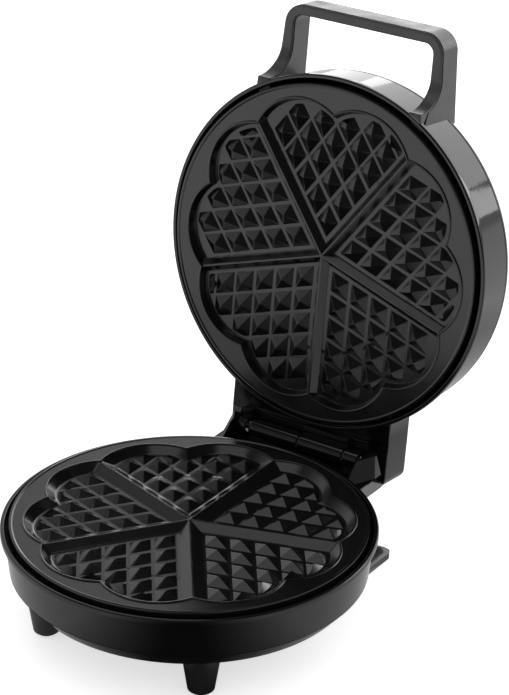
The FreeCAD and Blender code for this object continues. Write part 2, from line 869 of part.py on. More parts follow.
def lid_shell():
    """Lid casing with its inner shelf, moulded with the rear block, the legs and the lid's knuckles."""
    shell = flipped(casing_outside(lid_depth, lid_low_radius)).fuse(lid_block())
    shell = shell.cut(flipped(casing_inside(lid_depth, lid_low_radius)))
    cuts = [x_cylinder(pin_radius + pin_fit, pin_left, pin_right)]
    shelf_top = -lid_depth + shelf_thickness
    for angle in post_angles:
        cuts.append(flipped(screw_hole(-lid_depth - over, shelf_top + over, at_angle(post_circle, angle))))
    for angle in cover_boss_angles:
        cuts.append(flipped(screw_hole(-lid_depth - over, shelf_top + over, at_angle(post_circle, angle))))
    for spot in handle_screw_spots():
        start = handle_screw_start(spot)
        cuts.append(flipped(forward_cylinder(screw_radius + screw_fit, spot, start, lip_radius)))
        cuts.append(flipped(forward_cylinder(head_radius + screw_fit, spot, start + head_height + over,
                                             head_height + over)))
    return shell.cut(group(cuts)).removeSplitter()


def dome_face(grow=0.0):
    """Half section of the lid cover's outside: a rounded shoulder, then a cap of a large sphere."""
    low = -lid_depth
    crown = low - dome_rise - grow
    rim = lid_low_radius + grow
    round_off = dome_shoulder + grow
    shoulder = V(rim - round_off, 0, low - round_off)
    bend = round_off * (1 - math.sqrt(0.5))
    cap_height = shoulder.z - crown
    cap_radius = (shoulder.x ** 2 + cap_height ** 2) / (2 * cap_height)
    half_turn = math.asin(shoulder.x / cap_radius) / 2
    half = V(cap_radius * math.sin(half_turn), 0, crown + cap_radius * (1 - math.cos(half_turn)))
    edges = [
        segment(V(0, 0, low), V(rim, 0, low)),
        arc(V(rim, 0, low), V(rim - bend, 0, low - round_off + bend), shoulder),
        arc(shoulder, half, V(0, 0, crown)),
        segment(V(0, 0, crown), V(0, 0, low)),
    ]
    return Part.Face(Part.Wire(edges))


def dome(grow=0.0):
    return dome_face(grow).revolve(ORIGIN, Z_AXIS, FULL_TURN)


def lamp_points():
    return [V(side * lamp_x, lamp_y, 0) for side in (-1, 1)]


def board_posts():
    low = -lid_depth - dome_rise
    return [cylinder(board_post_radius, low, -lid_depth - board_depth, side * board_post_x, lamp_y)
            for side in (-1, 1)]


def lid_cover():
    """Domed cover that closes the lid, with screw bosses, lamp holes and two posts for the lamp board."""
    outside = dome()
    cover = outside.cut(dome(-cover_thickness))
    bosses = []
    cuts = []
    for angle in cover_boss_angles:
        spot = at_angle(post_circle, angle)
        bosses.append(cylinder(cover_boss_radius, -lid_depth - dome_rise, -lid_depth, spot.x, spot.y))
        cuts.append(screw_hole(-lid_depth - screw_bite + tip_gap, -lid_depth + over, spot))
    inner = group(bosses + board_posts()).common(outside)
    for spot in lamp_points():
        cuts.append(cylinder(lamp_radius, -lid_depth - 2 * dome_rise, -lid_depth - board_depth,
                             spot.x, spot.y))
    return flipped(cover.fuse(inner).cut(group(cuts)).removeSplitter())


def lid_cover_screws():
    """Screws from the plate side of the shelf into the cover's bosses."""
    length = shelf_thickness + screw_bite - 2 * tip_gap
    down = screw(length)
    down.rotate(ORIGIN, X_AXIS, 180)
    top = -lid_depth + shelf_thickness + shield_thickness
    screws = [moved(down, at_angle(post_circle, angle, top)) for angle in cover_boss_angles]
    return flipped(group(screws))


def dome_level(radius):
    """Height of the dome's cap at a distance from its axis."""
    cap_height = dome_rise - dome_shoulder
    edge = lid_low_radius - dome_shoulder
    cap_radius = (edge ** 2 + cap_height ** 2) / (2 * cap_height)
    return -lid_depth - dome_rise + cap_radius - math.sqrt(cap_radius ** 2 - radius ** 2)


def lamp_lens(spot):
    """Lens with a sloping flange, pushed into the lid cover from outside."""
    face = dome_level(spot.Length - lamp_flange)
    inner_end = -lid_depth - board_depth - lamp_proud
    stem = cylinder(lamp_radius, face, inner_end, spot.x, spot.y)
    cap = Part.makeCone(lamp_flange, lamp_radius, lamp_proud, V(spot.x, spot.y, face), V(0, 0, -1))
    hollow = cylinder(lamp_bulb_radius + hole_clearance, face + lamp_proud, inner_end + over,
                      spot.x, spot.y)
    return flipped(joined([stem, cap]).cut(hollow))


def lamp_board():
    """Small board on the cover's posts with its two neon lamps reaching into the lenses."""
    low = -lid_depth - board_depth
    board = block(-board_half_width, board_half_width, lamp_y - board_half_depth, lamp_y + board_half_depth,
                  low, low + board_thickness)
    bulbs = [cylinder(lamp_bulb_radius, -lid_depth - dome_rise + 2 * lamp_proud, low + board_thickness / 2,
                      p.x, p.y) for p in lamp_points()]
    return flipped(joined([board] + bulbs))


def handle_outline():
    """Loop handle seen from the front: a bar on two legs that widen outwards towards the lid."""
    far = -handle_reach
    near = far + handle_bar
    wide = handle_half_width
    thin = wide - handle_bar
    outer_bend = handle_outer_round * (1 - math.sqrt(0.5))
    inner_bend = handle_inner_round * (1 - math.sqrt(0.5))
    edges = [
        segment(V(-wide + handle_outer_round, far, 0), V(wide - handle_outer_round, far, 0)),
        segment(V(-thin + handle_inner_round, near, 0), V(thin - handle_inner_round, near, 0)),
    ]
    for side in (-1, 1):
        def at(x, y):
            return V(side * x, y, 0)
        edges += [
            arc(at(wide - handle_outer_round, far), at(wide - outer_bend, far + outer_bend),
                at(wide, far + handle_outer_round)),
            segment(at(wide, far + handle_outer_round), at(handle_root_width, -root_reach)),
            segment(at(handle_root_width, -root_reach), at(thin, -root_reach)),
            segment(at(thin, -root_reach), at(thin, near + handle_inner_round)),
            arc(at(thin, near + handle_inner_round), at(thin - inner_bend, near + inner_bend),
                at(thin - handle_inner_round, near)),
        ]
    return Part.Face(Part.Wire(Part.__sortEdges__(edges)))


def handle_side(grow, start):
    """Space behind the handle's front, moved back by grow and no nearer the lid's lip plane than start.

    Seen from the side the front is straight and then sweeps forward to the lip in a quarter ellipse.
    """
    x = -handle_root_width - over
    deep = -handle_front - grow
    behind = -2 * handle_back
    top = -handle_reach - over
    brow = V(x, -sweep_start, deep)
    foot = V(x, -sweep_start + sweep_drop + grow, 0)
    sweep = Part.ArcOfEllipse(Part.Ellipse(brow, foot, V(x, -sweep_start, 0)), 0, math.pi / 2).toShape()
    corners = [foot, V(x, 0, 0), V(x, 0, behind), V(x, top, behind), V(x, top, deep), brow]
    sides = [segment(a, b) for a, b in zip(corners, corners[1:])]
    space = Part.Face(Part.Wire([sweep] + sides)).extrude(V(-2 * x, 0, 0))
    return space.cut(block(x, -x, top, 0, -start, over))


def handle_loop():
    """Whole handle, seated on the outside of the lid's wall and cover."""
    face = handle_outline()
    face.translate(V(0, 0, -handle_back))
    loop = face.extrude(V(0, 0, handle_back))
    back_edges = [e for e in loop.Edges if e.BoundBox.ZMax < -handle_back + flat]
    loop = loop.makeFillet(handle_edge, back_edges).common(handle_side(0.0, 0.0))
    lid_form = casing_outside(lid_depth, lid_low_radius, handle_seat).fuse(dome(handle_seat))
    over_cover = cylinder(lid_low_radius - root_lap, -2 * handle_back, 0)
    loop = loop.cut(lid_form).cut(over_cover)
    holes = []
    for spot in handle_screw_spots():
        length = handle_screw_length - handle_screw_start(spot)
        holes.append(forward_cylinder(screw_radius + screw_fit, spot, 0, length))
    return loop.cut(group(holes))


def handle_parts():
    """The handle's grip and the thin cover strip along its front, which ends in a foot on the lip."""
    loop = handle_loop()
    strip = loop.cut(handle_side(handle_cover_thickness, strip_tail))
    grip = loop.common(handle_side(handle_cover_thickness + handle_joint, strip_tail + handle_joint))
    return flipped(grip), flipped(strip)


def handle_screws():
    """Screws from inside the lid's wall out into the handle's legs."""
    screws = []
    for spot in handle_screw_spots():
        start = handle_screw_start(spot)
        shank = forward_cylinder(screw_radius, spot, start, handle_screw_length - tip_gap)
        head = forward_cylinder(head_radius, spot, start + head_height, head_height)
        screws.append(joined([shank, head]))
    return flipped(group(screws))


def base_nodes():
    left_foot, right_foot = foot_points()
    return {
        "base_shell": base_shell(),
        "base_bottom_cover": base_bottom_cover(),
        "bottom_cover_screws": bottom_cover_screws(),
        "lower_plate": plate(base_depth, lower_hearts),
        "lower_plate_screws": plate_screws(base_depth),
        "lower_heater": heater(),
        "lower_heater_clips": heater_clips(),
        "lower_heat_shield": heat_shield(base_depth, shield_hole),
        "thermostat": thermostat(),
        "thermal_fuse": thermal_fuse(),
        "terminal_block": terminal_block(),
        "base_wires": base_wires(),
        "cord_gland": cord_gland(),
        "front_left_foot": front_foot(left_foot),
        "front_right_foot": front_foot(right_foot),
        "foot_pads": foot_pads(),
        "foot_screws": foot_screws(),
        "cord_wrap": cord_wrap(),
        "cord_wrap_screws": cord_wrap_screws(),
        "hinge_pin": hinge_pin(),
    }


def lid_nodes():
    grip, strip = handle_parts()
    left_lamp, right_lamp = lamp_points()
    return {
        "lid_shell": lid_shell(),
        "lid_cover": lid_cover(),
        "lid_cover_screws": lid_cover_screws(),
        "upper_plate": flipped(plate(lid_depth, upper_hearts)),
        "upper_plate_screws": flipped(plate_screws(lid_depth)),
        "upper_heater": flipped(heater()),
        "upper_heater_clips": flipped(heater_clips()),
        "upper_heat_shield": flipped(heat_shield(lid_depth, shield_hole)),
        "handle_grip": grip,
        "handle_strip": strip,
        "handle_screws": handle_screws(),
        "power_lamp_lens": lamp_lens(left_lamp),
        "ready_lamp_lens": lamp_lens(right_lamp),
        "lamp_board": lamp_board(),
    }


def main():
    os.makedirs("parts", exist_ok=True)
    nodes = base_nodes()
    for name, shape in lid_nodes().items():
        shape.rotate(V(0, hinge_y, hinge_z), X_AXIS, -open_angle)
        nodes[name] = shape
    for name, shape in nodes.items():
        shape.translate(V(0, base_axis_y, lip_height))
        shape.exportStep("parts/" + name + ".step")
        box = shape.BoundBox
        print(name, len(shape.Solids), shape.isValid(), round(shape.Volume / 1000, 2), "cm3",
              [round(v, 2) for v in (box.XMin, box.YMin, box.ZMin, box.XMax, box.YMax, box.ZMax)])


main()
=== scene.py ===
"""Looks of an open waffle maker with heart-pattern plates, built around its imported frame.

Metres, +Z up, the front at -Y and the hinge at +Y. Casing pieces are worked out in the casing's own
place, with the axis of the round casing at x = y = 0 and its lip at z = 0, and then set down on the base
or carried over to the lid and opened with it.
"""
import json
import math

import bmesh
import bpy
import numpy as np
from mathutils import Matrix, Vector


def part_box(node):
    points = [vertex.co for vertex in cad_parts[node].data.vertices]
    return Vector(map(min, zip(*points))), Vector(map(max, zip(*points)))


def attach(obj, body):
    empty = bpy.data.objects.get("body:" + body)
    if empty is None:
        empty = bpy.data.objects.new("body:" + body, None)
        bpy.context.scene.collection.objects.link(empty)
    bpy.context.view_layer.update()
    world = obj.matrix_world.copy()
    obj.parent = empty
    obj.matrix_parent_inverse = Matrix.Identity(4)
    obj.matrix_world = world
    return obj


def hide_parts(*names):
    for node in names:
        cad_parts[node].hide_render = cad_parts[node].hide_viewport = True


bl_info = {
    "name": "Heart Waffle Maker",
    "version": (1, 0, 0),
    "blender": (4, 5, 0),
    "location": "View3D > Sidebar > Waffle Maker",
    "description": "Dresses the frame of an open waffle maker: casings, plates, hinge, handle and feet",
    "category": "Object",
}

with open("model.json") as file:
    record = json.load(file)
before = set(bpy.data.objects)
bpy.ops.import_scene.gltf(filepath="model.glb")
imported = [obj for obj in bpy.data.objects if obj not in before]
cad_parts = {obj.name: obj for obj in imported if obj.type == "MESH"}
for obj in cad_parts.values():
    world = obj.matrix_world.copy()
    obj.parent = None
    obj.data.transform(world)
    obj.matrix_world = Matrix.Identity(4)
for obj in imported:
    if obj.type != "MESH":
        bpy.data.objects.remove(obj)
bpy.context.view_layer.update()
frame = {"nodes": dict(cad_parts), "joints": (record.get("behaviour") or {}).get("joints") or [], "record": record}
hinge = frame["joints"][0]
FULL_TURN = 2 * math.pi
# Least length to divide by
TINY = 1e-9


def length(name, description, default):
    return bpy.props.FloatProperty(name=name, description=description, default=default, min=0.0,
                                   precision=4, unit="LENGTH")


def colour(name, description, default):
    return bpy.props.FloatVectorProperty(name=name, description=description, default=default, size=3,
                                         min=0.0, max=1.0, subtype="COLOR")


class CasingSizes(bpy.types.PropertyGroup):
    """Sizes of the two round casings and the covers that close them."""
    lip_radius: length("Lip radius", "Outside of the casing's lip", 0.105)
    lip_width: length("Lip width", "Width of the lip's flat top", 0.0025)
    lip_thickness: length("Lip thickness", "Height of the lip's edge", 0.0035)
    lip_overhang: length("Lip overhang", "How far the lip stands out over the wall", 0.0018)
    wall: length("Wall", "Thickness of the casing's wall", 0.0024)
    base_depth: length("Base depth", "Height of the base's wall", 0.025)
    base_taper: length("Base taper", "How much narrower the base's wall is below", 0.0028)
    lid_depth: length("Lid depth", "Height of the lid's wall", 0.031)
    lid_taper: length("Lid taper", "How much narrower the lid's wall is at its back", 0.0008)
    shelf_width: length("Shelf width", "Width of the shelf inside the wall", 0.020)
    shelf: length("Shelf", "Thickness of the shelf", 0.003)
    dome_shoulder: length("Dome shoulder", "Round of the lid cover's edge", 0.007)
    dome_rise: length("Dome rise", "Height of the lid cover's crown", 0.009)
    lid_gap: length("Lid gap", "Gap between the two lips when the lid is closed", 0.0056)
    soft_edge: length("Soft edge", "Round of the moulded edges", 0.0006)


class PlateSizes(bpy.types.PropertyGroup):
    """Sizes of the cast plates and their hearts."""
    groove: length("Groove", "Gap between the plate and the casing's lip", 0.0023)
    rise: length("Rise", "Height of the plate's rim above the lip", 0.002)
    rim: length("Rim", "Thickness of the rim", 0.0035)
    rim_width: length("Rim width", "From the plate's edge to the crowns of the hearts", 0.0087)
    body_wall: length("Body wall", "Metal outside the hearts", 0.0035)
    edge_width: length("Edge width", "Width of the raised line at the rim", 0.0018)
    edge_height: length("Edge height", "Height of the raised line at the rim", 0.0004)
    bead_width: length("Bead width", "Width of the bead round the hearts", 0.0018)
    bead_height: length("Bead height", "Height of the bead round the hearts", 0.0007)
    cusp_inset: length("Cusp inset", "From the crowns in to where two hearts meet", 0.0075)
    cleft_inset: length("Cleft inset", "From the crowns in to the middle of a heart", 0.009)
    thick: length("Thick", "From the rim's top to the underside of the hearts", 0.0072)
    crest_drop: length("Crest drop", "How far the ridges stay below the rim", 0.0003)
    crest_half: length("Crest half width", "Half width of a ridge's top", 0.0005)
    pitch: length("Pyramid pitch", "Distance from pyramid to pyramid", 0.0142)
    side: length("Pyramid side", "Side of a pyramid's foot", 0.0126)
    peak_drop: length("Peak drop", "How far the pyramids stay below the rim", 0.0004)
    cast_round: length("Cast round", "Round of the cast edges and valleys", 0.0006)
    edge_cut: length("Edge cut", "How much of a pyramid's corners is cut off", 0.0004)


class LowerHearts(bpy.types.PropertyGroup):
    """Sizes of the hearts in the lower plate, with broad ridges and gently sloping walls."""
    depth: length("Depth", "Depth of the hearts below the rim", 0.00385)
    ridge_half: length("Ridge half width", "Half width of a ridge's foot", 0.0067)
    draft: length("Draft", "Slope of the hearts' outer walls", 0.005)
    border: length("Border", "Channel between the hearts' sides and the pyramids", 0.0013)


class UpperHearts(bpy.types.PropertyGroup):
    """Sizes of the hearts in the upper plate, with narrow ridges and steep walls."""
    depth: length("Depth", "Depth of the hearts below the rim", 0.0042)
    ridge_half: length("Ridge half width", "Half width of a ridge's foot", 0.0037)
    draft: length("Draft", "Slope of the hearts' outer walls", 0.0012)
    border: length("Border", "Channel between the hearts' sides and the pyramids", 0.0022)


class HingeSizes(bpy.types.PropertyGroup):
    """Sizes of the hinge, its bracket on the base and the block and legs on the lid."""
    barrel: length("Barrel radius", "Radius of the knuckles", 0.0052)
    bore: length("Bore radius", "Radius of the knuckles' bore", 0.00155)
    web_half: length("Web half width", "Half width of the webs that carry the knuckles", 0.004)
    bracket_half: length("Bracket half width", "Half width of the bracket", 0.053)
    bracket_behind: length("Bracket behind", "How far the bracket goes behind the hinge axis", 0.0044)
    bracket_depth: length("Bracket depth", "Height of the bracket", 0.009)
    ledge_gap: length("Ledge gap", "Gap between the barrel and the bracket's ledge", 0.0006)
    cheek_inner: length("Cheek inner", "Inner face of the end cheeks", 0.0435)
    cheek_rise: length("Cheek rise", "Top of the cheeks above the hinge axis", 0.0055)
    cheek_behind: length("Cheek behind", "How far the cheeks go behind the hinge axis", 0.003)
    cheek_top_ahead: length("Cheek top ahead", "How far the cheeks' tops go ahead of the hinge axis", 0.0101)
    cheek_corner: length("Cheek corner", "Outer front corner of the cheeks ahead of the hinge axis", 0.004)
    cheek_skew: bpy.props.FloatProperty(
        name="Cheek skew", description="How far the cheeks' fronts go outwards for each length back",
        default=0.475, min=0.1, max=2.0, subtype="FACTOR")
    leg_inner: length("Leg inner", "Inner face of the lid's legs", 0.0408)
    leg_outer: length("Leg outer", "Outer face of the lid's legs", 0.054)
    leg_clear: length("Leg clearance", "Gap between the legs and the cheeks", 0.0013)
    leg_thickness: length("Leg thickness", "Height of the legs", 0.0226)
    leg_reach: length("Leg reach", "How far the legs go past the hinge axis", 0.0162)
    leg_round: length("Leg round", "Round at the back of the legs' ends", 0.0055)
    apron_behind: length("Apron behind", "How far the block's apron goes past the hinge axis", 0.002)
    block_gap: length("Block gap", "From the rear block to the hinge axis", 0.006)
    edge: length("Edge", "Round of the hinge's moulded edges", 0.0007)


class HandleSizes(bpy.types.PropertyGroup):
    """Sizes of the loop handle."""
    half_width: length("Half width", "Half the handle's width at the bar", 0.052)
    root_width: length("Root width", "Half the handle's width at its roots", 0.055)
    clear: length("Clear", "How far the bar's outside is from the lip", 0.0305)
    bar: length("Bar", "Thickness of the bar and legs", 0.006)
    ahead: length("Ahead", "How far the handle's front is ahead of the lid's back edge", 0.0095)
    behind: length("Behind", "How far the handle's back is behind the lid's back edge", 0.0096)
    strip: length("Strip", "Thickness of the front strip", 0.0012)
    joint: length("Joint", "Width and depth of the groove between the strip and the grip", 0.0011)
    outer_round: length("Outer round", "Round of the handle's outer corners", 0.012)
    inner_round: length("Inner round", "Round of the handle's inner corners", 0.006)
    edge: length("Edge", "Round of the handle's long edges", 0.0011)
    joint_edge: length("Joint edge", "Round of the edges along the strip's joint", 0.0003)
    root_depth: length("Root depth", "From the lip in to the roots' widest place", 0.025)
    sweep_clear: length("Sweep clear", "From the lip out to where the front sweeps forward", 0.005)
    sweep_inset: length("Sweep inset", "From the lip in to the foot of the sweep", 0.0102)
    tail: length("Tail", "Thickness of the strip's foot at the lip", 0.003)
    set_back: length("Set back", "How far the foot stays behind the lip's face", 0.0002)
    strip_sunk: length("Strip sunk", "How far the strip's feet go inside the lip's circle", 0.0015)
    grip_sunk: length("Grip sunk", "How far the grip's roots go inside the lip's circle", 0.0035)
    back_sunk: length("Back sunk", "How far the roots' back parts go inside the lip's circle", 0.0056)


class FootSizes(bpy.types.PropertyGroup):
    """Sizes of the tapered front feet."""
    top: length("Top radius", "Radius of a foot under the base", 0.0108)
    low: length("Low radius", "Radius of a foot near the table", 0.0074)
    edge: length("Edge", "Round of a foot's lower edge", 0.0012)


class Finishes(bpy.types.PropertyGroup):
    """Colours of the finishes."""
    casing: colour("Casing", "Gloss black moulding", (0.003, 0.003, 0.0033))
    foot: colour("Foot", "Satin black moulding of the feet", (0.014, 0.014, 0.015))
    plate: colour("Plate", "Non-stick coating", (0.003, 0.003, 0.0033))
    handle: colour("Handle", "Satin dark grey moulding", (0.045, 0.045, 0.047))
    rubber: colour("Rubber", "Pads, gland and leads", (0.020, 0.020, 0.020))
    steel: colour("Steel", "Screws, pin and shields", (0.560, 0.560, 0.570))
    heater: colour("Heater", "Sheath of the heaters", (0.300, 0.280, 0.260))
    control: colour("Control", "Pale heat-resistant mouldings", (0.700, 0.660, 0.580))
    red_lamp: colour("Red lamp", "Power lamp's lens", (0.500, 0.020, 0.015))
    green_lamp: colour("Green lamp", "Ready lamp's lens", (0.030, 0.360, 0.070))
    floor: colour("Floor", "The pale floor", (0.900, 0.900, 0.900))


# Places in the frame

def axis_y():
    """Where the round casing's axis stands."""
    low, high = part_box("lower_plate")
    return (low.y + high.y) / 2


def lip_z(casing):
    """Height of the base's lip: its wall stands on the bottom cover."""
    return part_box("base_bottom_cover")[1].z + casing.base_depth


def on_base(points, casing):
    """Points of a casing standing on its bottom, set down where the base is."""
    return points + np.array([0.0, axis_y(), lip_z(casing)])


def hinge_in_casing(casing):
    """Hinge axis seen from the base's lip: its y and its z."""
    return hinge["pos_m"][1] - axis_y(), hinge["pos_m"][2] - lip_z(casing)


def closed_lid(points, casing):
    """Points of a casing turned over, lip down, on top of the closed base."""
    return points * np.array([1.0, 1.0, -1.0]) + np.array([0.0, 0.0, casing.lid_gap])


def opened(points, casing):
    """Points of the closed lid, swung open about the hinge and set down where the base is."""
    turn = -math.radians(hinge["range_deg"][1])
    y, z = hinge_in_casing(casing)
    pivot = np.array([0.0, y, z])
    spin = np.array(Matrix.Rotation(turn, 3, "X"))
    return on_base((points - pivot) @ spin.T + pivot, casing)


def on_lid(points, casing):
    """Points of a casing standing on its bottom, carried over to the open lid."""
    return opened(closed_lid(points, casing), casing)


# Shapes

def rounded(points, radius, steps=6):
    """Closed outline whose corners are arcs.

    Each corner gives way to the arc of its radius that touches both its sides: the arc's centre lies on
    the corner's bisector at radius / sin(half angle), and its points turn evenly from side to side.
    """
    points = np.asarray(points, float)
    radius = np.broadcast_to(radius, len(points))[:, None]
    back = np.roll(points, 1, axis=0) - points
    ahead = np.roll(points, -1, axis=0) - points
    back /= np.linalg.norm(back, axis=1, keepdims=True)
    ahead /= np.linalg.norm(ahead, axis=1, keepdims=True)
    half = np.arccos(np.clip((back * ahead).sum(1, keepdims=True), -1.0, 1.0)) / 2
    middle = back + ahead
    middle /= np.linalg.norm(middle, axis=1, keepdims=True)
    centre = points + middle * radius / np.sin(half)
    start = points + back * radius / np.tan(half) - centre
    end = points + ahead * radius / np.tan(half) - centre
    turn = (math.pi - 2 * half)[:, None]
    part = np.linspace(0.0, 1.0, steps)[None, :, None]
    arcs = (start[:, None] * np.sin((1 - part) * turn) + end[:, None] * np.sin(part * turn)) / np.sin(turn)
    return (centre[:, None] + arcs).reshape(-1, points.shape[1])


def circle_through(start, middle, end):
    """Centre and radius of the circle through three points: its centre is where the bisectors cross."""
    start, middle, end = (np.asarray(p, float) for p in (start, middle, end))
    sides = 2 * np.array([middle - start, end - start])
    centre = np.linalg.solve(sides, [middle @ middle - start @ start, end @ end - start @ start])
    return centre, np.linalg.norm(start - centre)


def arc_through(start, middle, end, steps):
    """Points turning evenly from start to end on the circle through three points."""
    centre, radius = circle_through(start, middle, end)
    angles = [math.atan2(p[1] - centre[1], p[0] - centre[0]) for p in (start, middle, end)]
    first, _, last = np.unwrap(angles)
    turns = np.linspace(first, last, steps)
    return centre + radius * np.stack([np.cos(turns), np.sin(turns)], axis=-1)


def revolved(outline, closed, turns=240):
    """Outline of (radius, height) points carried round the Z axis: (r cos t, r sin t, z)."""
    outline = np.asarray(outline, float)
    if closed:
        outline = np.vstack([outline, outline[:1]])
    t = np.linspace(0.0, FULL_TURN, turns + 1)
    r = outline[:, :1]
    return np.stack([r * np.cos(t), r * np.sin(t), np.repeat(outline[:, 1:], turns + 1, axis=1)], axis=-1)


def bar(outline, low, high, edge, top=None, between=0, steps=5):
    """Closed outline of (x, y) points carried straight up from low to high, with round edges at both ends.

    Near an end the outline is drawn in along its own normals by edge * (1 - sin a) while the level goes
    by edge * (1 - cos a), for a from 0 to a quarter turn, and the end is closed to its middle. On its way
    the outline passes evenly into the top one, if there is one.
    """
    outline = np.asarray(outline, float)
    top = outline if top is None else np.asarray(top, float)
    along = np.roll(outline, -1, axis=0) - np.roll(outline, 1, axis=0)
    normal = np.stack([along[:, 1], -along[:, 0]], axis=-1)
    normal /= np.linalg.norm(normal, axis=1, keepdims=True)
    area = (outline * np.roll(outline, -1, axis=0)[:, ::-1] * [1, -1]).sum()
    normal *= math.copysign(1.0, area)
    a = np.linspace(0.0, math.pi / 2, steps)
    inset = edge * (1 - np.sin(a))
    lift = edge * (1 - np.cos(a))
    straight = np.linspace(low + edge, high - edge, between + 2)[1:-1]
    insets = np.concatenate([inset, np.zeros(between), inset[::-1]])
    levels = np.concatenate([low + lift, straight, (high - lift)[::-1]])
    share = ((levels - low) / (high - low))[:, None, None]
    rows = outline + (top - outline) * share - normal * insets[:, None, None]
    middle = np.broadcast_to(rows.mean(axis=1, keepdims=True), rows.shape)
    rows = np.concatenate([middle[:1], rows, middle[-1:]])
    levels = np.concatenate([levels[:1], levels, levels[-1:]])
    rows = np.concatenate([rows, rows[:, :1]], axis=1)
    heights = np.broadcast_to(levels[:, None, None], (*rows.shape[:2], 1))
    return np.concatenate([rows, heights], axis=-1)


def box_outline(low_a, high_a, low_b, high_b):
    """Corners of a rectangle in order round it."""
    return [(low_a, low_b), (high_a, low_b), (high_a, high_b), (low_a, high_b)]


def tongue(left, right, start, end, steps=32):
    """Outline with straight sides and a half-round end: its middle plus half the width times (cos, sin)."""
    half = (right - left) / 2
    t = np.linspace(0.0, math.pi, steps)
    cap = np.stack([left + half + half * np.cos(t), end - half + half * np.sin(t)], axis=-1)
    return np.vstack([[(left, start), (right, start)], cap])


def against_wall(half_width, radius, back, steps=40):
    """Outline that is straight at the back and sides and follows a circle about the axis in front."""
    side = math.asin(half_width / radius)
    t = np.linspace(-side, side, steps)
    front = np.stack([radius * np.sin(t), radius * np.cos(t)], axis=-1)
    return np.vstack([front, [(half_width, back), (-half_width, back)]])


def knuckle(sizes, low, high, y, z):
    """Rounded ring on the hinge axis: its (radius, length) outline carried round the X axis."""
    corners = [(sizes.bore, low), (sizes.barrel, low), (sizes.barrel, high), (sizes.bore, high)]
    ring = revolved(rounded(corners, [0.0, sizes.edge, sizes.edge, 0.0]), True, turns=48)
    return ring[..., [2, 0, 1]] + np.array([0.0, y, z])


# Meshes

# Points nearer to each other than this are merged
MERGE_DISTANCE = 1e-6
# Faces that meet at more than these angles keep a sharp edge, on the frame's own nodes and on the castings
FITTING_SHARP = math.radians(30)
CASTING_SHARP = math.radians(24)


def grid_mesh(name, grids):
    """Mesh of one or more grids of points, where each cell is a quad."""
    points, quads, count = [], [], 0
    for grid in grids:
        rows, columns = grid.shape[:2]
        index = count + np.arange(rows * columns).reshape(rows, columns)
        cells = [index[:-1, :-1], index[:-1, 1:], index[1:, 1:], index[1:, :-1]]
        points.append(grid.reshape(-1, 3))
        quads.append(np.stack(cells, axis=-1).reshape(-1, 4))
        count += rows * columns
    mesh = bpy.data.meshes.new(name)
    mesh.from_pydata(np.concatenate(points).tolist(), [], np.concatenate(quads).tolist())
    return mesh


def add_piece(name, grids, material, body, slot, *nodes, sharp=None):
    """Piece made of grids of points, which stands for the named nodes."""
    mesh = grid_mesh(name, grids)
    finish_mesh(mesh, sharp)
    add_object(name, mesh, material, body, slot, *nodes)


def finish_mesh(mesh, sharp=None):
    """Closes seams and poles, points the faces outwards and shades them smooth up to the sharp angle."""
    work = bmesh.new()
    work.from_mesh(mesh)
    bmesh.ops.remove_doubles(work, verts=work.verts, dist=MERGE_DISTANCE)
    bmesh.ops.recalc_face_normals(work, faces=work.faces)
    work.to_mesh(mesh)
    work.free()
    mesh.shade_smooth()
    if sharp:
        mesh.set_sharp_from_angle(angle=sharp)


def add_object(name, mesh, material, body, slot, *nodes):
    piece = bpy.data.objects.new(name, mesh)
    bpy.context.scene.collection.objects.link(piece)
    mesh.materials.clear()
    mesh.materials.append(material)
    piece.modifiers.new("flat_faces", "WEIGHTED_NORMAL").keep_sharp = True
    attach(piece, body)
    if nodes:
        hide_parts(*nodes)


def dress(node, material, body, slot):
    """Merged and smoothed copy of a frame node, which stands for it."""
    mesh = frame["nodes"][node].data.copy()
    mesh.name = node + "_dressed"
    finish_mesh(mesh, FITTING_SHARP)
    add_object(node + "_dressed", mesh, material, body, slot, node)


# Materials

WHITE = (1.0, 1.0, 1.0, 1.0)


def set_inputs(node, inputs):
    """Links each input whose value is another node's output, and sets the others."""
    for key, value in inputs.items():
        if isinstance(value, bpy.types.NodeSocket):
            node.id_data.links.new(value, node.inputs[key])
        else:
            node.inputs[key].default_value = value


def add_node(tree, kind, inputs, **settings):
    """Shader node of a kind. Its settings come first, because they decide which inputs it has."""
    node = tree.nodes.new("ShaderNode" + kind)
    for key, value in settings.items():
        setattr(node, key, value)
    set_inputs(node, inputs)
    return node


def noise(tree, place, scale, detail=2.0):
    return add_node(tree, "TexNoise", {"Vector": place, "Scale": scale, "Detail": detail}).outputs["Fac"]


def spread(tree, value, low, high, start=0.3, end=0.7):
    """Value that goes evenly from low to high as another goes from start to end, and stays there beyond."""
    ends = {"From Min": start, "From Max": end, "To Min": low, "To Max": high}
    return add_node(tree, "MapRange", {"Value": value, **ends}).outputs["Result"]


def shade_of(tone, share):
    return tuple(min(1.0, channel * share) for channel in tone)


def tinted(tree, value, tone, low, high):
    """Colour that goes with a value from one share of a tone to another."""
    tones = {"A": (*shade_of(tone, low), 1.0), "B": (*shade_of(tone, high), 1.0)}
    return add_node(tree, "Mix", {"Factor": value, **tones}, data_type="RGBA").outputs["Result"]


def bump(tree, height, strength, distance):
    inputs = {"Height": height, "Strength": strength, "Distance": distance}
    return add_node(tree, "Bump", inputs).outputs["Normal"]


def start_material(name):
    """Empty surface of a finish with its shader, and Object coordinates for its patterns."""
    material = bpy.data.materials.new(name)
    material.use_nodes = True
    tree = material.node_tree
    shader = tree.nodes["Principled BSDF"]
    place = tree.nodes.new("ShaderNodeTexCoord").outputs["Object"]
    return material, tree, shader, place


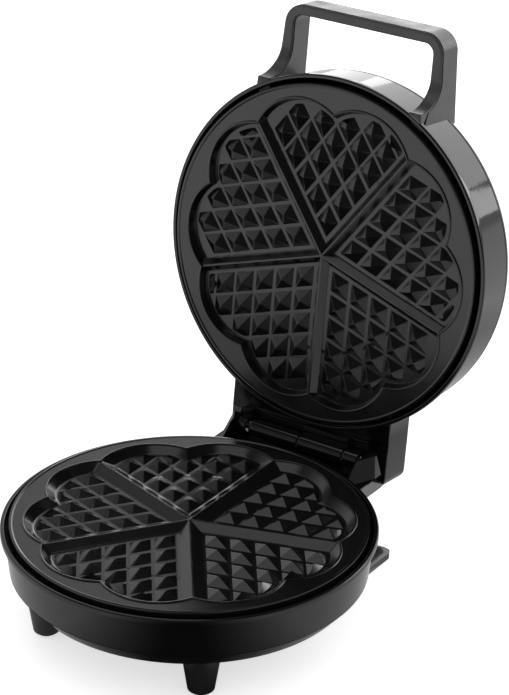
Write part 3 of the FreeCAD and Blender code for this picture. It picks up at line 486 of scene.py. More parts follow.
def moulded(name, tone, rough, grain_scale, grain_depth, gloss=0.5):
    """Moulded plastic: faint clouding of the colour, uneven gloss and a fine grain or orange peel."""
    material, tree, shader, place = start_material(name)
    cloud = noise(tree, place, scale=35.0, detail=4.0)
    haze = noise(tree, place, scale=90.0, detail=5.0)
    grain = noise(tree, place, grain_scale)
    set_inputs(shader, {
        "Base Color": tinted(tree, cloud, tone, low=0.8, high=1.25),
        "Roughness": spread(tree, haze, low=rough * 0.8, high=rough * 1.25),
        "Normal": bump(tree, grain, strength=0.3, distance=grain_depth),
        "Specular IOR Level": gloss,
    })
    return material


def coated_casting(name, tone):
    """Non-stick coating on a casting: a fine speckle, patches that shine more, and a slightly rough skin."""
    material, tree, shader, place = start_material(name)
    specks = noise(tree, place, scale=1800.0, detail=1.0)
    speckle = spread(tree, specks, low=0.0, high=1.0, start=0.5, end=0.75)
    patches = noise(tree, place, scale=60.0, detail=4.0)
    skin = noise(tree, place, scale=900.0, detail=3.0)
    set_inputs(shader, {
        "Base Color": tinted(tree, speckle, tone, low=1.0, high=2.2),
        "Roughness": spread(tree, patches, low=0.14, high=0.22),
        "Normal": bump(tree, skin, strength=0.15, distance=0.0001),
        "Specular IOR Level": 0.75,
    })
    return material


def metal(name, tone, rough, streak):
    """Bare metal: fine streaks along X in the gloss and skin, a little tarnish in the colour."""
    material, tree, shader, place = start_material(name)
    stretched = add_node(tree, "Mapping", {"Vector": place, "Scale": (streak, 1.0, 1.0)}).outputs["Vector"]
    lines = noise(tree, stretched, scale=1500.0, detail=3.0)
    tarnish = noise(tree, place, scale=80.0, detail=4.0)
    set_inputs(shader, {
        "Base Color": tinted(tree, tarnish, tone, low=0.75, high=1.1),
        "Roughness": spread(tree, lines, low=rough * 0.7, high=rough * 1.3),
        "Normal": bump(tree, lines, strength=0.15, distance=0.0001),
        "Metallic": 1.0,
    })
    return material


def lens(name, tone):
    """Tinted lens: uneven tint, a polished skin and a little light let through."""
    material, tree, shader, place = start_material(name)
    tint = noise(tree, place, scale=400.0)
    set_inputs(shader, {
        "Base Color": tinted(tree, tint, tone, low=0.7, high=1.2),
        "Roughness": spread(tree, tint, low=0.08, high=0.16),
        "Transmission Weight": 0.35,
        "Coat Weight": 0.6,
    })
    return material


def casing_gloss(finishes):
    return bpy.data.materials.get("gloss_moulding") or moulded(
        "gloss_moulding", finishes.casing, rough=0.06, grain_scale=500.0, grain_depth=0.00003, gloss=0.65)


def handle_satin(finishes):
    return bpy.data.materials.get("satin_moulding") or moulded(
        "satin_moulding", finishes.handle, rough=0.3, grain_scale=2600.0, grain_depth=0.0001, gloss=0.6)


def rubber(finishes):
    return bpy.data.materials.get("matt_rubber") or moulded(
        "matt_rubber", finishes.rubber, rough=0.75, grain_scale=3000.0, grain_depth=0.0003, gloss=0.3)


def plate_coating(finishes):
    return bpy.data.materials.get("plate_coating") or coated_casting("plate_coating", finishes.plate)


# Casings

# Left and right ends of the knuckles along the hinge
KNUCKLES = {
    "base": ((-0.0342, -0.0010), (0.0303, 0.0400)),
    "lid": ((-0.0429, -0.0369), (-0.0006, 0.0298)),
}
# Round of the edges of the webs that carry the knuckles
WEB_EDGE = 0.0002
# Rows of the lid cover's points round its shoulder and over its cap
SHOULDER_ROWS = 12
CAP_ROWS = 40


def casing_ring(casing, depth, taper):
    """Wall with its lip and shelf: a closed outline of its section carried round the axis."""
    lip_inner = casing.lip_radius - casing.lip_width
    top = casing.lip_radius - casing.lip_overhang
    low = top - taper
    under = top - taper * casing.lip_thickness / depth
    shelf_top = -depth + casing.shelf
    shelf_inner = low - casing.wall - casing.shelf_width
    corners = [
        (lip_inner, 0.0),
        (casing.lip_radius, 0.0),
        (casing.lip_radius, -casing.lip_thickness),
        (under, -casing.lip_thickness),
        (low, -depth),
        (shelf_inner, -depth),
        (shelf_inner, shelf_top),
        (low - casing.wall, shelf_top),
        (under - casing.wall, -casing.lip_thickness),
        (lip_inner, -casing.lip_thickness),
    ]
    edge = casing.soft_edge
    rounds = [edge, 1.5 * edge, edge, edge, edge, 0.0, 0.0, 0.0, 0.0, 0.0]
    return revolved(rounded(corners, rounds), True)


def dome(casing):
    """Lid cover: a quarter-round shoulder, then a cap of a large sphere up to the crown, and back inside."""
    rim = casing.lip_radius - casing.lip_overhang - casing.lid_taper
    round_off = casing.dome_shoulder
    shoulder = (rim - round_off, -casing.lid_depth - round_off)
    crown = -casing.lid_depth - casing.dome_rise
    cap = casing.dome_rise - round_off
    sphere = (shoulder[0] ** 2 + cap ** 2) / (2 * cap)
    t = np.linspace(0.0, math.pi / 2, SHOULDER_ROWS)
    edge = np.stack([shoulder[0] + round_off * np.cos(t), -casing.lid_depth - round_off * np.sin(t)], axis=-1)
    s = np.linspace(math.asin(shoulder[0] / sphere), 0.0, CAP_ROWS)
    top = np.stack([sphere * np.sin(s), crown + sphere * (1 - np.cos(s))], axis=-1)
    inside = top[::-1] + [0.0, casing.wall]
    lip = [(rim - casing.wall, -casing.lid_depth), (rim - casing.soft_edge, -casing.lid_depth)]
    return revolved(np.vstack([edge, top[1:], inside[:-1], lip, edge[:1]]), False)


def cheek(sizes, side, y, low, high):
    """Upright at one end of the bracket, whose slanted outline narrows from low to high.

    Its front runs outwards as it goes back. Below, it ends in an outer side; above, in a point at the back.
    """
    inner, outer = sizes.cheek_inner, sizes.bracket_half
    back = y + sizes.cheek_behind
    corner = y - sizes.cheek_corner
    front = corner - (outer - inner) / sizes.cheek_skew
    top_front = y - sizes.cheek_top_ahead
    point = inner + (back - top_front) * sizes.cheek_skew
    nib = 2 * sizes.edge
    foot = [(inner, front), (outer, corner), (outer, back), (inner, back)]
    head = [(inner, top_front), (point - nib * sizes.cheek_skew, back - nib), (point, back), (inner, back)]
    across = np.array([side, 1.0])
    edge = sizes.edge / 2
    return bar(rounded(foot, edge) * across, low, high, edge, top=rounded(head, edge / 2) * across)


class WAFFLE_OT_base_casing(bpy.types.Operator):
    """Base casing, with the hinge bracket, its cheeks and the base's knuckles"""
    bl_idname = "waffle.base_casing"
    bl_label = "Base Casing"

    def execute(self, context):
        casing, sizes = context.scene.waffle_casing, context.scene.waffle_hinge
        finish = casing_gloss(context.scene.waffle_finishes)
        y, z = hinge_in_casing(casing)
        ledge = z - sizes.barrel - sizes.ledge_gap
        wall = casing.lip_radius - casing.lip_overhang - casing.wall / 2
        grids = [casing_ring(casing, casing.base_depth, casing.base_taper)]
        outline = against_wall(sizes.bracket_half, wall, y + sizes.bracket_behind)
        grids.append(bar(outline, ledge - sizes.bracket_depth, ledge, sizes.edge))
        top = z + sizes.cheek_rise
        grids += [cheek(sizes, side, y, ledge - sizes.edge, top) for side in (-1, 1)]
        for low, high in KNUCKLES["base"]:
            grids.append(knuckle(sizes, low, high, y, z))
            web = rounded(box_outline(low, high, y - sizes.web_half, y + sizes.web_half), WEB_EDGE)
            grids.append(bar(web, ledge - sizes.edge, z - sizes.bore, WEB_EDGE))
        grids = [on_base(grid, casing) for grid in grids]
        add_piece("base_casing", grids, finish, "base", "casing_gloss", "base_shell")
        dress("base_bottom_cover", finish, "base", "casing_gloss")
        return {"FINISHED"}


def lid_leg(casing, sizes, side, low, high):
    """Tongue beside the rear block with a half-round end, whose far back edge is rounded off.

    Beyond the round's centre, at a height h above it, a point is at most sqrt(r * r - h * h) past the centre.
    """
    y, _ = hinge_in_casing(casing)
    end = y + sizes.leg_reach
    left, right = sorted((side * sizes.leg_inner, side * sizes.leg_outer))
    outline = tongue(left, right, casing.lip_radius - sizes.leg_thickness, end)
    leg = bar(outline, low, high, sizes.edge, between=30)
    radius = sizes.leg_round
    above = np.clip(leg[..., 2] - (high - radius), 0.0, radius)
    reach = end - radius + np.sqrt(radius ** 2 - above ** 2)
    leg[..., 1] = np.minimum(leg[..., 1], reach)
    return leg


class WAFFLE_OT_lid_casing(bpy.types.Operator):
    """Lid casing, with its rear block, legs, knuckles and domed cover"""
    bl_idname = "waffle.lid_casing"
    bl_label = "Lid Casing"

    def execute(self, context):
        casing, sizes = context.scene.waffle_casing, context.scene.waffle_hinge
        finish = casing_gloss(context.scene.waffle_finishes)
        y, z = hinge_in_casing(casing)
        wall = casing.lip_radius - casing.lip_overhang - casing.wall / 2
        low = z + sizes.cheek_rise + sizes.leg_clear
        high = low + sizes.leg_thickness
        back = y - sizes.block_gap
        grids = [closed_lid(casing_ring(casing, casing.lid_depth, casing.lid_taper), casing)]
        # The block's ends stay just inside the legs, so that no two faces share a plane
        block_half = sizes.leg_outer - sizes.edge / 8
        grids.append(bar(against_wall(block_half, wall, back), low, high, sizes.edge))
        apron = box_outline(-sizes.leg_inner, sizes.leg_inner, back - sizes.web_half, y + sizes.apron_behind)
        grids.append(bar(apron, z + sizes.barrel + sizes.ledge_gap, high, sizes.edge / 2))
        grids += [lid_leg(casing, sizes, side, low, high) for side in (-1, 1)]
        for left, right in KNUCKLES["lid"]:
            grids.append(knuckle(sizes, left, right, y, z))
            web = rounded(box_outline(left, right, back - sizes.web_half, y + sizes.web_half / 2), WEB_EDGE)
            grids.append(bar(web, z + sizes.bore, low + sizes.web_half, WEB_EDGE))
        grids = [opened(grid, casing) for grid in grids]
        add_piece("lid_casing", grids, finish, "lid", "casing_gloss", "lid_shell")
        add_piece("lid_dome", [on_lid(dome(casing), casing)], finish, "lid", "casing_gloss", "lid_cover")
        return {"FINISHED"}


# Plates

RIDGES = 5
# Places for pyramids along each ridge of a heart, and the share of a foot beyond its lobe that leaves one out
PYRAMID_PLACES = 6
LEFT_OUT = 0.6
# Points along a side of a pyramid, and rings of them from its foot to its tip
SIDE_POINTS = 6
SLOPE_RINGS = 6
# How blunt a pyramid's tip is: 0 is a point, and 1 is flat
TIP_BLUNT = 0.6
# Points round each heart, and how closely they gather at the ridges: 0 is evenly, and 1 as close as can be
HEART_POINTS = 100
GATHERED = 0.75
# Rows of a plate's points over the hearts' floors, up their walls and over the bead
FLOOR_ROWS = 110
WALL_ROWS = 20
BEAD_ROWS = 11
# How many drafts wide the band of close rows at the walls is
WALL_DRAFTS = 1.8


def soft_max(a, b, soft):
    """Larger of two heights with the crease between them rounded: max + h * h * soft / 4."""
    h = np.clip(1 - np.abs(a - b) / soft, 0.0, None)
    return np.maximum(a, b) + h * h * soft / 4


def first_lobe(casing, plate):
    """Circle of a heart's first lobe: through the cusp at angle 0, the crown and the cleft."""
    crown = crown_radius(casing, plate)
    half_heart = math.pi / RIDGES
    places = (crown - plate.cusp_inset, 0.0), (crown, half_heart / 2), (crown - plate.cleft_inset, half_heart)
    return circle_through(*[(r * math.cos(t), r * math.sin(t)) for r, t in places])


def crown_radius(casing, plate):
    """How far the hearts' lobes reach from the middle of the plate."""
    return casing.lip_radius - casing.lip_width - plate.groove - plate.rim_width


def folded(t):
    """Angle from the first ridge brought into one half heart, as the halves mirror each other."""
    sector = FULL_TURN / RIDGES
    t = np.mod(t, sector)
    return np.minimum(t, sector - t)


def heart_height(plate, hearts, r, t, lobe_centre, lobe_radius):
    """Height of the casting inside the flower of hearts, at radius r and angle t from a ridge.

    Without pyramids, it is the largest of the floor, the ridge's slope, which falls with the distance from
    its line, and the outer wall, which falls with the distance inside the lobe's circle.
    """
    crest = plate.rise - plate.crest_drop
    floor = plate.rise - hearts.depth
    rise = crest - floor
    x, y = r * np.cos(folded(t)), r * np.sin(folded(t))
    ridge = crest - (y - plate.crest_half) * rise / (hearts.ridge_half - plate.crest_half)
    ridge = np.minimum(ridge, crest)
    inside = lobe_radius - np.hypot(x - lobe_centre[0], y - lobe_centre[1])
    inside = np.where(r < np.hypot(*lobe_centre), hearts.draft, inside)
    wall = crest - inside * rise / hearts.draft
    height = soft_max(np.full_like(r, floor), ridge, plate.cast_round)
    return soft_max(height, wall, plate.cast_round)


def pyramids(casing, plate, hearts):
    """Pyramids of all the hearts: for each, rings of points from under the floor to the tip.

    Its rhombus lies along the two ridges of its heart. A point is the rhombus's middle plus its offset along
    each ridge, and the ring shrinks evenly towards the tip. Each corner of the rhombus is cut off a little.
    A point beyond the channel inside its lobe is drawn in to the channel, which slopes in as it rises, and a
    pyramid whose foot lies mostly beyond it is left out.
    """
    sector = FULL_TURN / RIDGES
    centre, radius = first_lobe(casing, plate)
    ridge_a = np.array([1.0, 0.0])
    ridge_b = np.array([math.cos(sector), math.sin(sector)])
    half, cut = plate.side / 2, plate.edge_cut
    first = (hearts.ridge_half + hearts.border) / math.sin(sector) + half
    places = np.arange(PYRAMID_PLACES)
    i, j = (n.ravel() for n in np.meshgrid(places, places))
    middle = np.outer(first + i * plate.pitch, ridge_a) + np.outer(first + j * plate.pitch, ridge_b)
    side = np.linspace(cut - half, half - cut, SIDE_POINTS)
    far = np.full_like(side, half)
    steps_a = np.concatenate([far, -side, -far, side, far[:1]])
    steps_b = np.concatenate([side, far, -side, -far, side[:1]])
    ring = steps_a[:, None] * ridge_a + steps_b[:, None] * ridge_b
    height = hearts.depth - plate.peak_drop
    sink = cut / height
    slope = np.linspace(1.0, cut / half, SLOPE_RINGS)
    shares = np.concatenate([[0.0, 1 + sink], slope, [0.0]])
    levels = height * np.concatenate([[-sink, -sink], 1 - slope, [1 - TIP_BLUNT * cut / half]])
    flat = middle[:, None, None] + shares[:, None, None] * ring
    limit = radius - hearts.draft - hearts.border - levels[:, None]
    flat, beyond = inside_lobe(flat, limit, centre)
    flat = flat[(beyond[:, 1] > 0).mean(axis=-1) < LEFT_OUT]
    turns = (np.arange(RIDGES) * sector + math.pi / 2)[:, None, None, None]
    x = flat[..., 0] * np.cos(turns) - flat[..., 1] * np.sin(turns)
    y = flat[..., 0] * np.sin(turns) + flat[..., 1] * np.cos(turns)
    z = np.broadcast_to((plate.rise - hearts.depth + levels)[:, None], x.shape)
    return np.stack([x, y, z], axis=-1).reshape(-1, *flat.shape[1:3], 3)


def inside_lobe(points, limit, centre):
    """Points drawn in towards the centre of their lobe, and how far each was beyond it.

    A point further than the limit from the centre of its own lobe comes straight in to the limit.
    """
    sector = FULL_TURN / RIDGES
    turn = np.arctan2(points[..., 1], points[..., 0])
    second = turn > sector / 2
    axis = np.array([math.cos(sector / 2), math.sin(sector / 2)])
    mirrored = 2 * (centre @ axis) * axis - centre
    middle = np.where(second[..., None], mirrored, centre)
    away = points - middle
    distance = np.linalg.norm(away, axis=-1)
    inner = np.linalg.norm(points, axis=-1) < np.linalg.norm(centre)
    beyond = np.where(inner, 0.0, np.clip(distance - limit, 0.0, None))
    return points - away * (beyond / np.maximum(distance, TINY))[..., None], beyond


def heart_plate(casing, plate, hearts):
    """Whole plate: rows of points from the middle out over hearts, bead and rim, then round underneath.

    Inside the flower a row is at a share of the flower's radius at each angle, and its height is the
    casting's. The bead is half an ellipse across its width, and the raised line at the rim a low trapezium.
    """
    plate_radius = casing.lip_radius - casing.lip_width - plate.groove
    crown = crown_radius(casing, plate)
    centre, radius = first_lobe(casing, plate)
    u = np.linspace(0.0, RIDGES, RIDGES * HEART_POINTS + 1)
    t = FULL_TURN / RIDGES * (u - GATHERED * np.sin(FULL_TURN * u) / FULL_TURN)
    toward = centre[0] * np.cos(folded(t)) + centre[1] * np.sin(folded(t))
    flower = toward + np.sqrt(toward ** 2 - centre @ centre + radius ** 2)
    wall_start = 1 - WALL_DRAFTS * hearts.draft / crown
    floor_shares = np.linspace(0.0, wall_start, FLOOR_ROWS)[:-1]
    shares = np.concatenate([floor_shares, np.linspace(wall_start, 1.0, WALL_ROWS)])
    r = shares[:, None] * flower[None]
    z = heart_height(plate, hearts, r, np.broadcast_to(t, r.shape), centre, radius)
    across = np.linspace(0.0, 1.0, BEAD_ROWS)[:, None]
    bead_r = flower[None] + plate.bead_width * across
    bead_z = plate.rise + plate.bead_height * np.sqrt(1 - (2 * across - 1) ** 2)
    bead_z = np.broadcast_to(bead_z, bead_r.shape)
    edge_in = plate_radius - plate.edge_width
    flat = np.linspace(0.0, 1.0, 4)[1:-1, None]
    outer_bead = bead_r[-1:]
    flat_r = outer_bead + (edge_in - plate.edge_height - outer_bead) * flat
    flat_z = np.full_like(flat_r, plate.rise)
    body = crown + plate.body_wall
    bottom = plate.rise - plate.thick
    low_rim = plate.rise - plate.rim
    soft = plate.edge_height
    rim = np.array([
        (edge_in - soft, plate.rise),
        (edge_in, plate.rise + soft * 0.5),
        (edge_in + soft, plate.rise + soft),
        (plate_radius - 2 * soft, plate.rise + soft),
        (plate_radius - 0.6 * soft, plate.rise + 0.6 * soft),
        (plate_radius, plate.rise - soft),
        (plate_radius, low_rim),
        (body, low_rim),
        (body, bottom),
        (0.0, bottom),
    ])
    rim_r = np.repeat(rim[:, :1], len(t), axis=1)
    rim_z = np.repeat(rim[:, 1:], len(t), axis=1)
    r = np.concatenate([r, bead_r, flat_r, rim_r])
    z = np.concatenate([z, bead_z, flat_z, rim_z])
    turn = t + math.pi / 2
    return np.stack([r * np.cos(turn), r * np.sin(turn), z], axis=-1)


class WAFFLE_OT_plates(bpy.types.Operator):
    """The two cast plates of hearts"""
    bl_idname = "waffle.plates"
    bl_label = "Plates"

    def execute(self, context):
        casing, plate = context.scene.waffle_casing, context.scene.waffle_plate
        finish = plate_coating(context.scene.waffle_finishes)
        for name, body, place, hearts in (
            ("lower", "base", on_base, context.scene.waffle_lower_hearts),
            ("upper", "lid", on_lid, context.scene.waffle_upper_hearts),
        ):
            grids = [place(heart_plate(casing, plate, hearts), casing)]
            look = finish, body, "plate_nonstick"
            add_piece(name + "_hearts", grids, *look, name + "_plate", sharp=CASTING_SHARP)
            grids = list(place(pyramids(casing, plate, hearts), casing))
            add_piece(name + "_pyramids", grids, *look, sharp=CASTING_SHARP)
        return {"FINISHED"}


# Handle

# Rows of the handle's points down its sweep and round each corner
SWEEP_ROWS = 20
CORNER_ROWS = 12


def handle_edges(casing, sizes, *sunk):
    """Outer and inner edge of the loop handle from the left root to the right, as matching rows of points.

    Each edge is a leg, a corner and the bar, and the same again mirrored. The leg starts with a row for each
    depth sunk inside the lip's circle. Its rows lie close together where its front sweeps, and its outside
    spreads towards the root.
    """
    lip = casing.lip_radius
    far = lip + sizes.clear
    turn = np.linspace(math.pi / 2, 0.0, SWEEP_ROWS)
    sweep = lip + sizes.sweep_clear - (sizes.sweep_clear + sizes.sweep_inset) * np.sin(turn)
    spread_start = far - sizes.outer_round
    spread_length = spread_start - (lip - sizes.root_depth)
    inside = sizes.half_width - sizes.bar
    edges = []
    for width, root, corner, top in (
        (sizes.half_width, sizes.root_width, sizes.outer_round, far),
        (inside, inside, sizes.inner_round, far - sizes.bar),
    ):
        foot = np.sqrt((lip - np.array(sunk)) ** 2 - root ** 2)
        leg = np.concatenate([foot, sweep])
        spreads = (root - width) * (spread_start - leg) / spread_length
        bend = corner * (1 - math.sqrt(0.5))
        places = (width, corner - top), (width - bend, bend - top), (width - corner, -top)
        turned = arc_through(*places, CORNER_ROWS)
        half = np.vstack([np.stack([width + spreads, -leg], axis=-1), turned])
        edges.append(np.vstack([half * [-1, 1], half[::-1]]))
    return edges


def sweep_depth(casing, sizes, edge, grow):
    """How deep the handle's front, moved back by grow, lies behind the lip at the points of an edge.

    It is straight down to the sweep's start, and from there a quarter ellipse that ends at the lip.
    """
    past = casing.lip_radius + sizes.sweep_clear + edge[:, 1]
    share = np.clip(past / (sizes.sweep_clear + sizes.sweep_inset + grow), 0.0, 1.0)
    return (casing.lid_depth - sizes.ahead + grow) * np.sqrt(1 - share ** 2)


def handle_bar(outer, inner, front, back, front_edge, back_edge):
    """Rounded section carried along the handle.

    At each place the section spans from the inner to the outer edge and from front to back. A point of it is
    a corner of that rectangle, drawn in by the round there, plus the round's radius at the point's own angle.
    """
    middle = (outer + inner) / 2
    across = outer - inner
    width = np.linalg.norm(across, axis=1, keepdims=True)
    across = across / width
    a = np.linspace(0.0, math.pi / 2, 6)
    turns = np.concatenate([a, a + math.pi / 2, a + math.pi, a + 1.5 * math.pi, [0.0]])
    counts = [len(a)] * 4 + [1]
    side = np.repeat([1, -1, -1, 1, 1], counts)
    level = np.repeat([1, 1, -1, -1, 1], counts)
    edge = np.where(level > 0, front_edge, back_edge)
    sideways = side * (width / 2 - edge) + edge * np.cos(turns)
    height = np.where(level > 0, front[:, None] - front_edge, back[:, None] + back_edge)
    height = height + edge * np.sin(turns)
    flat = middle[:, None] + across[:, None] * sideways[..., None]
    grid = np.concatenate([flat, height[..., None]], axis=-1)
    ends = np.broadcast_to(grid.mean(axis=1, keepdims=True), grid.shape)
    return np.concatenate([ends[:1], grid, ends[-1:]])


class WAFFLE_OT_handle(bpy.types.Operator):
    """Loop handle: the thin strip along its front, its grip and a core that closes the groove between them"""
    bl_idname = "waffle.handle"
    bl_label = "Handle"

    def execute(self, context):
        casing, sizes = context.scene.waffle_casing, context.scene.waffle_handle
        finish = handle_satin(context.scene.waffle_finishes)
        outer, inner = handle_edges(casing, sizes, sizes.strip_sunk)
        front = -np.maximum(sweep_depth(casing, sizes, outer, 0.0), sizes.set_back)
        split = -np.maximum(sweep_depth(casing, sizes, outer, sizes.strip), sizes.tail)
        strip = handle_bar(outer, inner, front, split, sizes.edge, sizes.joint_edge)
        outer, inner = handle_edges(casing, sizes, sizes.back_sunk, sizes.grip_sunk)
        split = -np.maximum(sweep_depth(casing, sizes, outer, sizes.strip), sizes.tail)
        front = split - sizes.joint
        front[[0, -1]] = -casing.lid_depth
        back = np.full_like(front, -sizes.behind - casing.lid_depth)
        grip = handle_bar(outer, inner, front, back, sizes.joint_edge, sizes.edge)
        inset = sizes.joint * (outer - inner) / np.linalg.norm(outer - inner, axis=1, keepdims=True)
        rounds = sizes.joint_edge, sizes.joint_edge
        core = handle_bar(outer - inset, inner + inset, split, front - sizes.joint, *rounds)
        for name, grids, node in (
            ("front_strip", [strip], "handle_strip"),
            ("grip", [grip, core], "handle_grip"),
        ):
            grids = [on_lid(grid, casing) for grid in grids]
            add_piece(name, grids, finish, "lid", "handle_satin", node)
        return {"FINISHED"}


class WAFFLE_OT_feet(bpy.types.Operator):
    """Tapered front feet, their pads and the rear stand"""
    bl_idname = "waffle.feet"
    bl_label = "Feet and Stand"

    def execute(self, context):
        sizes, finishes = context.scene.waffle_foot, context.scene.waffle_finishes
        finish = moulded("foot_moulding", finishes.foot, rough=0.2, grain_scale=900.0, grain_depth=0.00005,
                         gloss=0.65)
        for node in ("front_left_foot", "front_right_foot"):
            low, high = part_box(node)
            corners = [(0.0, low.z), (sizes.low, low.z), (sizes.top, high.z), (0.0, high.z)]
            outline = rounded(corners, [0.0, sizes.edge, 0.0, 0.0])
            middle = np.array([(low.x + high.x) / 2, (low.y + high.y) / 2, 0.0])
            foot = revolved(outline, False, turns=72) + middle
            add_piece(node.replace("front_", "") + "_cone", [foot], finish, "base", "foot_gloss", node)
        dress("foot_pads", rubber(finishes), "base", "foot_rubber")
        dress("cord_wrap", casing_gloss(finishes), "base", "casing_gloss")
        dress("cord_gland", rubber(finishes), "base", "gland_rubber")
        return {"FINISHED"}


class WAFFLE_OT_fittings(bpy.types.Operator):
    """Screws, pin, lamps, heaters and the other pieces inside"""
    bl_idname = "waffle.fittings"
    bl_label = "Fittings"

    def execute(self, context):
        finishes = context.scene.waffle_finishes
        steel = metal("fitting_steel", finishes.steel, rough=0.32, streak=0.2)
        sheath = metal("heater_sheath", finishes.heater, rough=0.45, streak=1.0)
        tone = finishes.control
        pale = moulded("control_moulding", tone, rough=0.5, grain_scale=1500.0, grain_depth=0.0002)
        tone = shade_of(finishes.control, 1.05)
        lead = moulded("lead_sleeve", tone, rough=0.6, grain_scale=2500.0, grain_depth=0.0002)
        slots = {part["node"]: part["material_slot"] for part in frame["record"]["subparts"]}
        by_slot = {
            "screw_steel": steel, "pin_steel": steel, "shield_steel": steel, "heater_steel": sheath,
            "control_plastic": pale, "fuse_sleeve": lead, "wire_silicone": lead,
            "lamp_red": lens("red_lens", finishes.red_lamp),
            "lamp_green": lens("green_lens", finishes.green_lamp),
        }
        for body, members in frame["record"]["behaviour"]["bodies"].items():
            for node in members:
                slot = slots[node]
                if slot in by_slot:
                    dress(node, by_slot[slot], body, slot)
        return {"FINISHED"}


# Camera, floor and light

# Where the photograph was taken from, as fitted to it: the camera's turn, height and roll in degrees, its
# distance, its aim from the point on the table under the base's axis, and its lens in millimetres
VIEW_TURN = 33.09
VIEW_HEIGHT = 25.56
VIEW_ROLL = 1.11
VIEW_DISTANCE = 1.5035
VIEW_AIM = (0.00383, 0.05646, 0.14353)
VIEW_LENS = 140.1
SENSOR_WIDTH = 36.0

# Strength of the even light all round, and of the floor's own light to the camera
WORLD_STRENGTH = 0.7
FLOOR_GLOW = 0.62
# Half the floor's width, and its level just under the pads
FLOOR_HALF = 6.0
FLOOR_LEVEL = -0.0003
# Direction in which the floor's painted reflection is painted dark further out
FRONT_RIGHT = (0.9, -0.43, 0.0)
# Softboxes, which all aim at one point: place, width and height, and power in watts
SOFTBOXES = {
    "top_softbox": ((-0.3, -0.1, 1.7), (1.0, 1.0), 2.0),
    "left_softbox": ((-1.15, 1.75, 0.45), (0.95, 0.7), 4.0),
    "back_softbox": ((0.08, 2.0, 1.1), (2.25, 1.0), 11.0),
    "right_softbox": ((1.35, 1.8, 0.75), (1.0, 1.0), 7.5),
}
SOFTBOX_AIM = (0.0, 0.0, 0.2)


def camera_back():
    """Direction from the object to where the photograph was taken."""
    turn, height = math.radians(VIEW_TURN), math.radians(VIEW_HEIGHT)
    return Vector((math.sin(turn) * math.cos(height), -math.cos(turn) * math.cos(height), math.sin(height)))


def add_camera():
    back = camera_back()
    data = bpy.data.cameras.new("photo_view")
    data.lens = VIEW_LENS
    data.sensor_width = SENSOR_WIDTH
    camera = bpy.data.objects.new("photo_view", data)
    camera.location = Vector(VIEW_AIM) + Vector((0.0, axis_y(), 0.0)) + back * VIEW_DISTANCE
    look = (-back).to_track_quat("-Z", "Y").to_matrix()
    camera.rotation_euler = (look @ Matrix.Rotation(math.radians(VIEW_ROLL), 3, "Z")).to_euler()
    bpy.context.scene.collection.objects.link(camera)
    bpy.context.scene.camera = camera


def ray_share(tree, *names):
    """1 for the named kinds of rays, and 0 for the others."""
    rays = tree.nodes.new("ShaderNodeLightPath")
    total = rays.outputs[names[0]]
    for name in names[1:]:
        total = math_node(tree, "MAXIMUM", total, rays.outputs[name])
    return total


def math_node(tree, operation, first, second):
    return add_node(tree, "Math", {0: first, 1: second}, operation=operation).outputs["Value"]


def vector_node(tree, operation, value, fixed):
    return add_node(tree, "VectorMath", {0: value, 1: fixed}, operation=operation)


def mix_shaders(tree, share, first, second):
    return add_node(tree, "MixShader", {0: share, 1: first, 2: second}).outputs["Shader"]


def glow(tree, kind, strength):
    """Plain white light, from a background or a surface, of a strength or of another node's output."""
    return add_node(tree, kind, {"Color": WHITE, "Strength": strength}).outputs[kind]


def add_world():
    """Even soft light all round, and white surroundings that gloss sees darker overhead and in front."""
    world = bpy.data.worlds.new("studio")
    world.use_nodes = True
    tree = world.node_tree
    light = tree.nodes["Background"]
    set_inputs(light, {"Color": WHITE, "Strength": WORLD_STRENGTH})
    direction = tree.nodes.new("ShaderNodeTexCoord").outputs["Generated"]
    toward = vector_node(tree, "DOT_PRODUCT", direction, camera_back()).outputs["Value"]
    upward = vector_node(tree, "DOT_PRODUCT", direction, (0.0, 0.0, 1.0)).outputs["Value"]
    front = spread(tree, toward, low=0.6, high=0.05, start=0.0, end=0.8)
    overhead = spread(tree, upward, low=1.0, high=0.08, start=0.5, end=0.85)
    mirrored = glow(tree, "Background", math_node(tree, "MULTIPLY", front, overhead))
    seen = glow(tree, "Background", 1.0)
    gloss = ray_share(tree, "Is Glossy Ray", "Is Transmission Ray")
    around = mix_shaders(tree, gloss, light.outputs["Background"], mirrored)
    whole = mix_shaders(tree, ray_share(tree, "Is Camera Ray"), around, seen)
    set_inputs(tree.nodes["World Output"], {"Surface": whole})
    bpy.context.scene.world = world


def add_softbox(name, place, size, power):
    data = bpy.data.lights.new(name, "AREA")
    data.shape = "RECTANGLE"
    data.size, data.size_y = size
    data.energy = power
    lamp = bpy.data.objects.new(name, data)
    lamp.location = place
    lamp.rotation_euler = (Vector(SOFTBOX_AIM) - Vector(place)).to_track_quat("-Z", "Y").to_euler()
    bpy.context.scene.collection.objects.link(lamp)


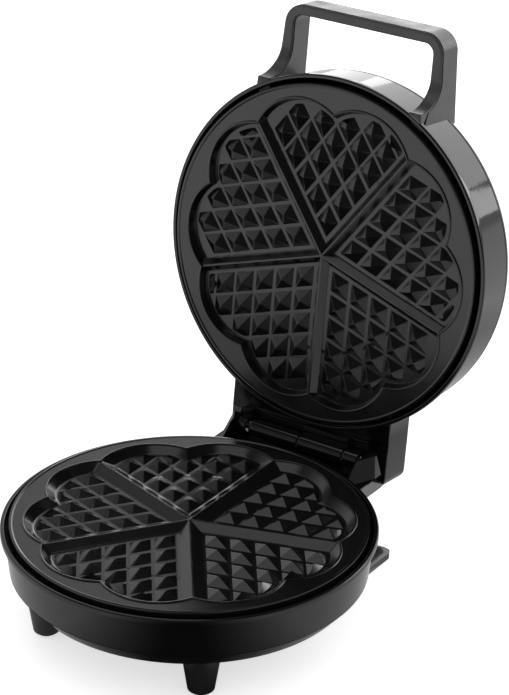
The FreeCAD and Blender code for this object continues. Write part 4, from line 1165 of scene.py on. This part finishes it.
def floor_material(tone):
    """Pale floor, brighter to the camera. Gloss sees it only as a glow: a painted reflection, painted dark close
    to the object and in front of it.
    """
    material, tree, shader, place = start_material("pale_floor")
    cloud = noise(tree, place, scale=3.0)
    set_inputs(shader, {"Base Color": tinted(tree, cloud, tone, low=0.98, high=1.0), "Roughness": 0.9})
    lit = shader.outputs["BSDF"]
    added = add_node(tree, "AddShader", {0: lit, 1: glow(tree, "Emission", FLOOR_GLOW)}).outputs["Shader"]
    middle = vector_node(tree, "SUBTRACT", place, (0.0, axis_y(), 0.0)).outputs["Vector"]
    away = vector_node(tree, "DISTANCE", middle, (0.0, 0.0, 0.0)).outputs["Value"]
    right = Vector((0.0, 0.0, 1.0)).cross(camera_back()).normalized()
    across = vector_node(tree, "DOT_PRODUCT", middle, right).outputs["Value"]
    aside = math_node(tree, "MULTIPLY", across, across)
    ahead = vector_node(tree, "DOT_PRODUCT", middle, FRONT_RIGHT).outputs["Value"]
    outside = spread(tree, away, low=0.01, high=1.0, start=0.22, end=0.5)
    dimmed = spread(tree, ahead, low=1.0, high=0.1, start=0.2, end=0.4)
    outside = math_node(tree, "MULTIPLY", outside, dimmed)
    beside = spread(tree, aside, low=0.01, high=0.6, start=0.02 ** 2, end=0.11 ** 2)
    # Painted reflection: the glow that gloss sees in the floor, painted dark close to the object and in front of
    # it
    mirrored = glow(tree, "Emission", math_node(tree, "MAXIMUM", outside, beside))
    gloss = ray_share(tree, "Is Glossy Ray", "Is Transmission Ray")
    plain = mix_shaders(tree, ray_share(tree, "Is Camera Ray"), lit, added)
    whole = mix_shaders(tree, gloss, plain, mirrored)
    set_inputs(tree.nodes["Material Output"], {"Surface": whole})
    return material


def add_floor(tone):
    """Wide pale floor just under the pads, a grid of x and y with a faint unevenness in its material."""
    side = np.linspace(-FLOOR_HALF, FLOOR_HALF, 9)
    x, y = np.meshgrid(side, side)
    mesh = grid_mesh("floor", [np.stack([x, y, np.full_like(x, FLOOR_LEVEL)], axis=-1)])
    mesh.materials.append(floor_material(tone))
    floor = bpy.data.objects.new("floor", mesh)
    bpy.context.scene.collection.objects.link(floor)


class WAFFLE_OT_stage(bpy.types.Operator):
    """Camera, pale floor, soft studio light and white surroundings"""
    bl_idname = "waffle.stage"
    bl_label = "Stage"

    def execute(self, context):
        context.scene.view_settings.view_transform = "Standard"
        add_camera()
        add_floor(context.scene.waffle_finishes.floor)
        add_world()
        for name, settings in SOFTBOXES.items():
            add_softbox(name, *settings)
        return {"FINISHED"}


class WAFFLE_PT_panel(bpy.types.Panel):
    """Lists the pieces in the order they are made"""
    bl_idname = "WAFFLE_PT_panel"
    bl_label = "Waffle Maker"
    bl_space_type = "VIEW_3D"
    bl_region_type = "UI"
    bl_category = "Waffle Maker"

    def draw(self, context):
        for operator in OPERATORS:
            self.layout.operator(operator.bl_idname)
        for name in GROUPS:
            group = getattr(context.scene, name)
            column = self.layout.column(align=True)
            for key in group.__annotations__:
                column.prop(group, key)


GROUPS = {
    "waffle_casing": CasingSizes,
    "waffle_plate": PlateSizes,
    "waffle_lower_hearts": LowerHearts,
    "waffle_upper_hearts": UpperHearts,
    "waffle_hinge": HingeSizes,
    "waffle_handle": HandleSizes,
    "waffle_foot": FootSizes,
    "waffle_finishes": Finishes,
}
OPERATORS = (
    WAFFLE_OT_base_casing,
    WAFFLE_OT_lid_casing,
    WAFFLE_OT_plates,
    WAFFLE_OT_handle,
    WAFFLE_OT_feet,
    WAFFLE_OT_fittings,
    WAFFLE_OT_stage,
)
CLASSES = (*GROUPS.values(), *OPERATORS, WAFFLE_PT_panel)


def register():
    for cls in CLASSES:
        bpy.utils.register_class(cls)
    for name, group in GROUPS.items():
        setattr(bpy.types.Scene, name, bpy.props.PointerProperty(type=group))


def unregister():
    for name in GROUPS:
        delattr(bpy.types.Scene, name)
    for cls in reversed(CLASSES):
        bpy.utils.unregister_class(cls)


def main():
    register()
    bpy.ops.waffle.base_casing()
    bpy.ops.waffle.lid_casing()
    bpy.ops.waffle.plates()
    bpy.ops.waffle.handle()
    bpy.ops.waffle.feet()
    bpy.ops.waffle.fittings()
    bpy.ops.waffle.stage()


if __name__ == "__main__":
    main()
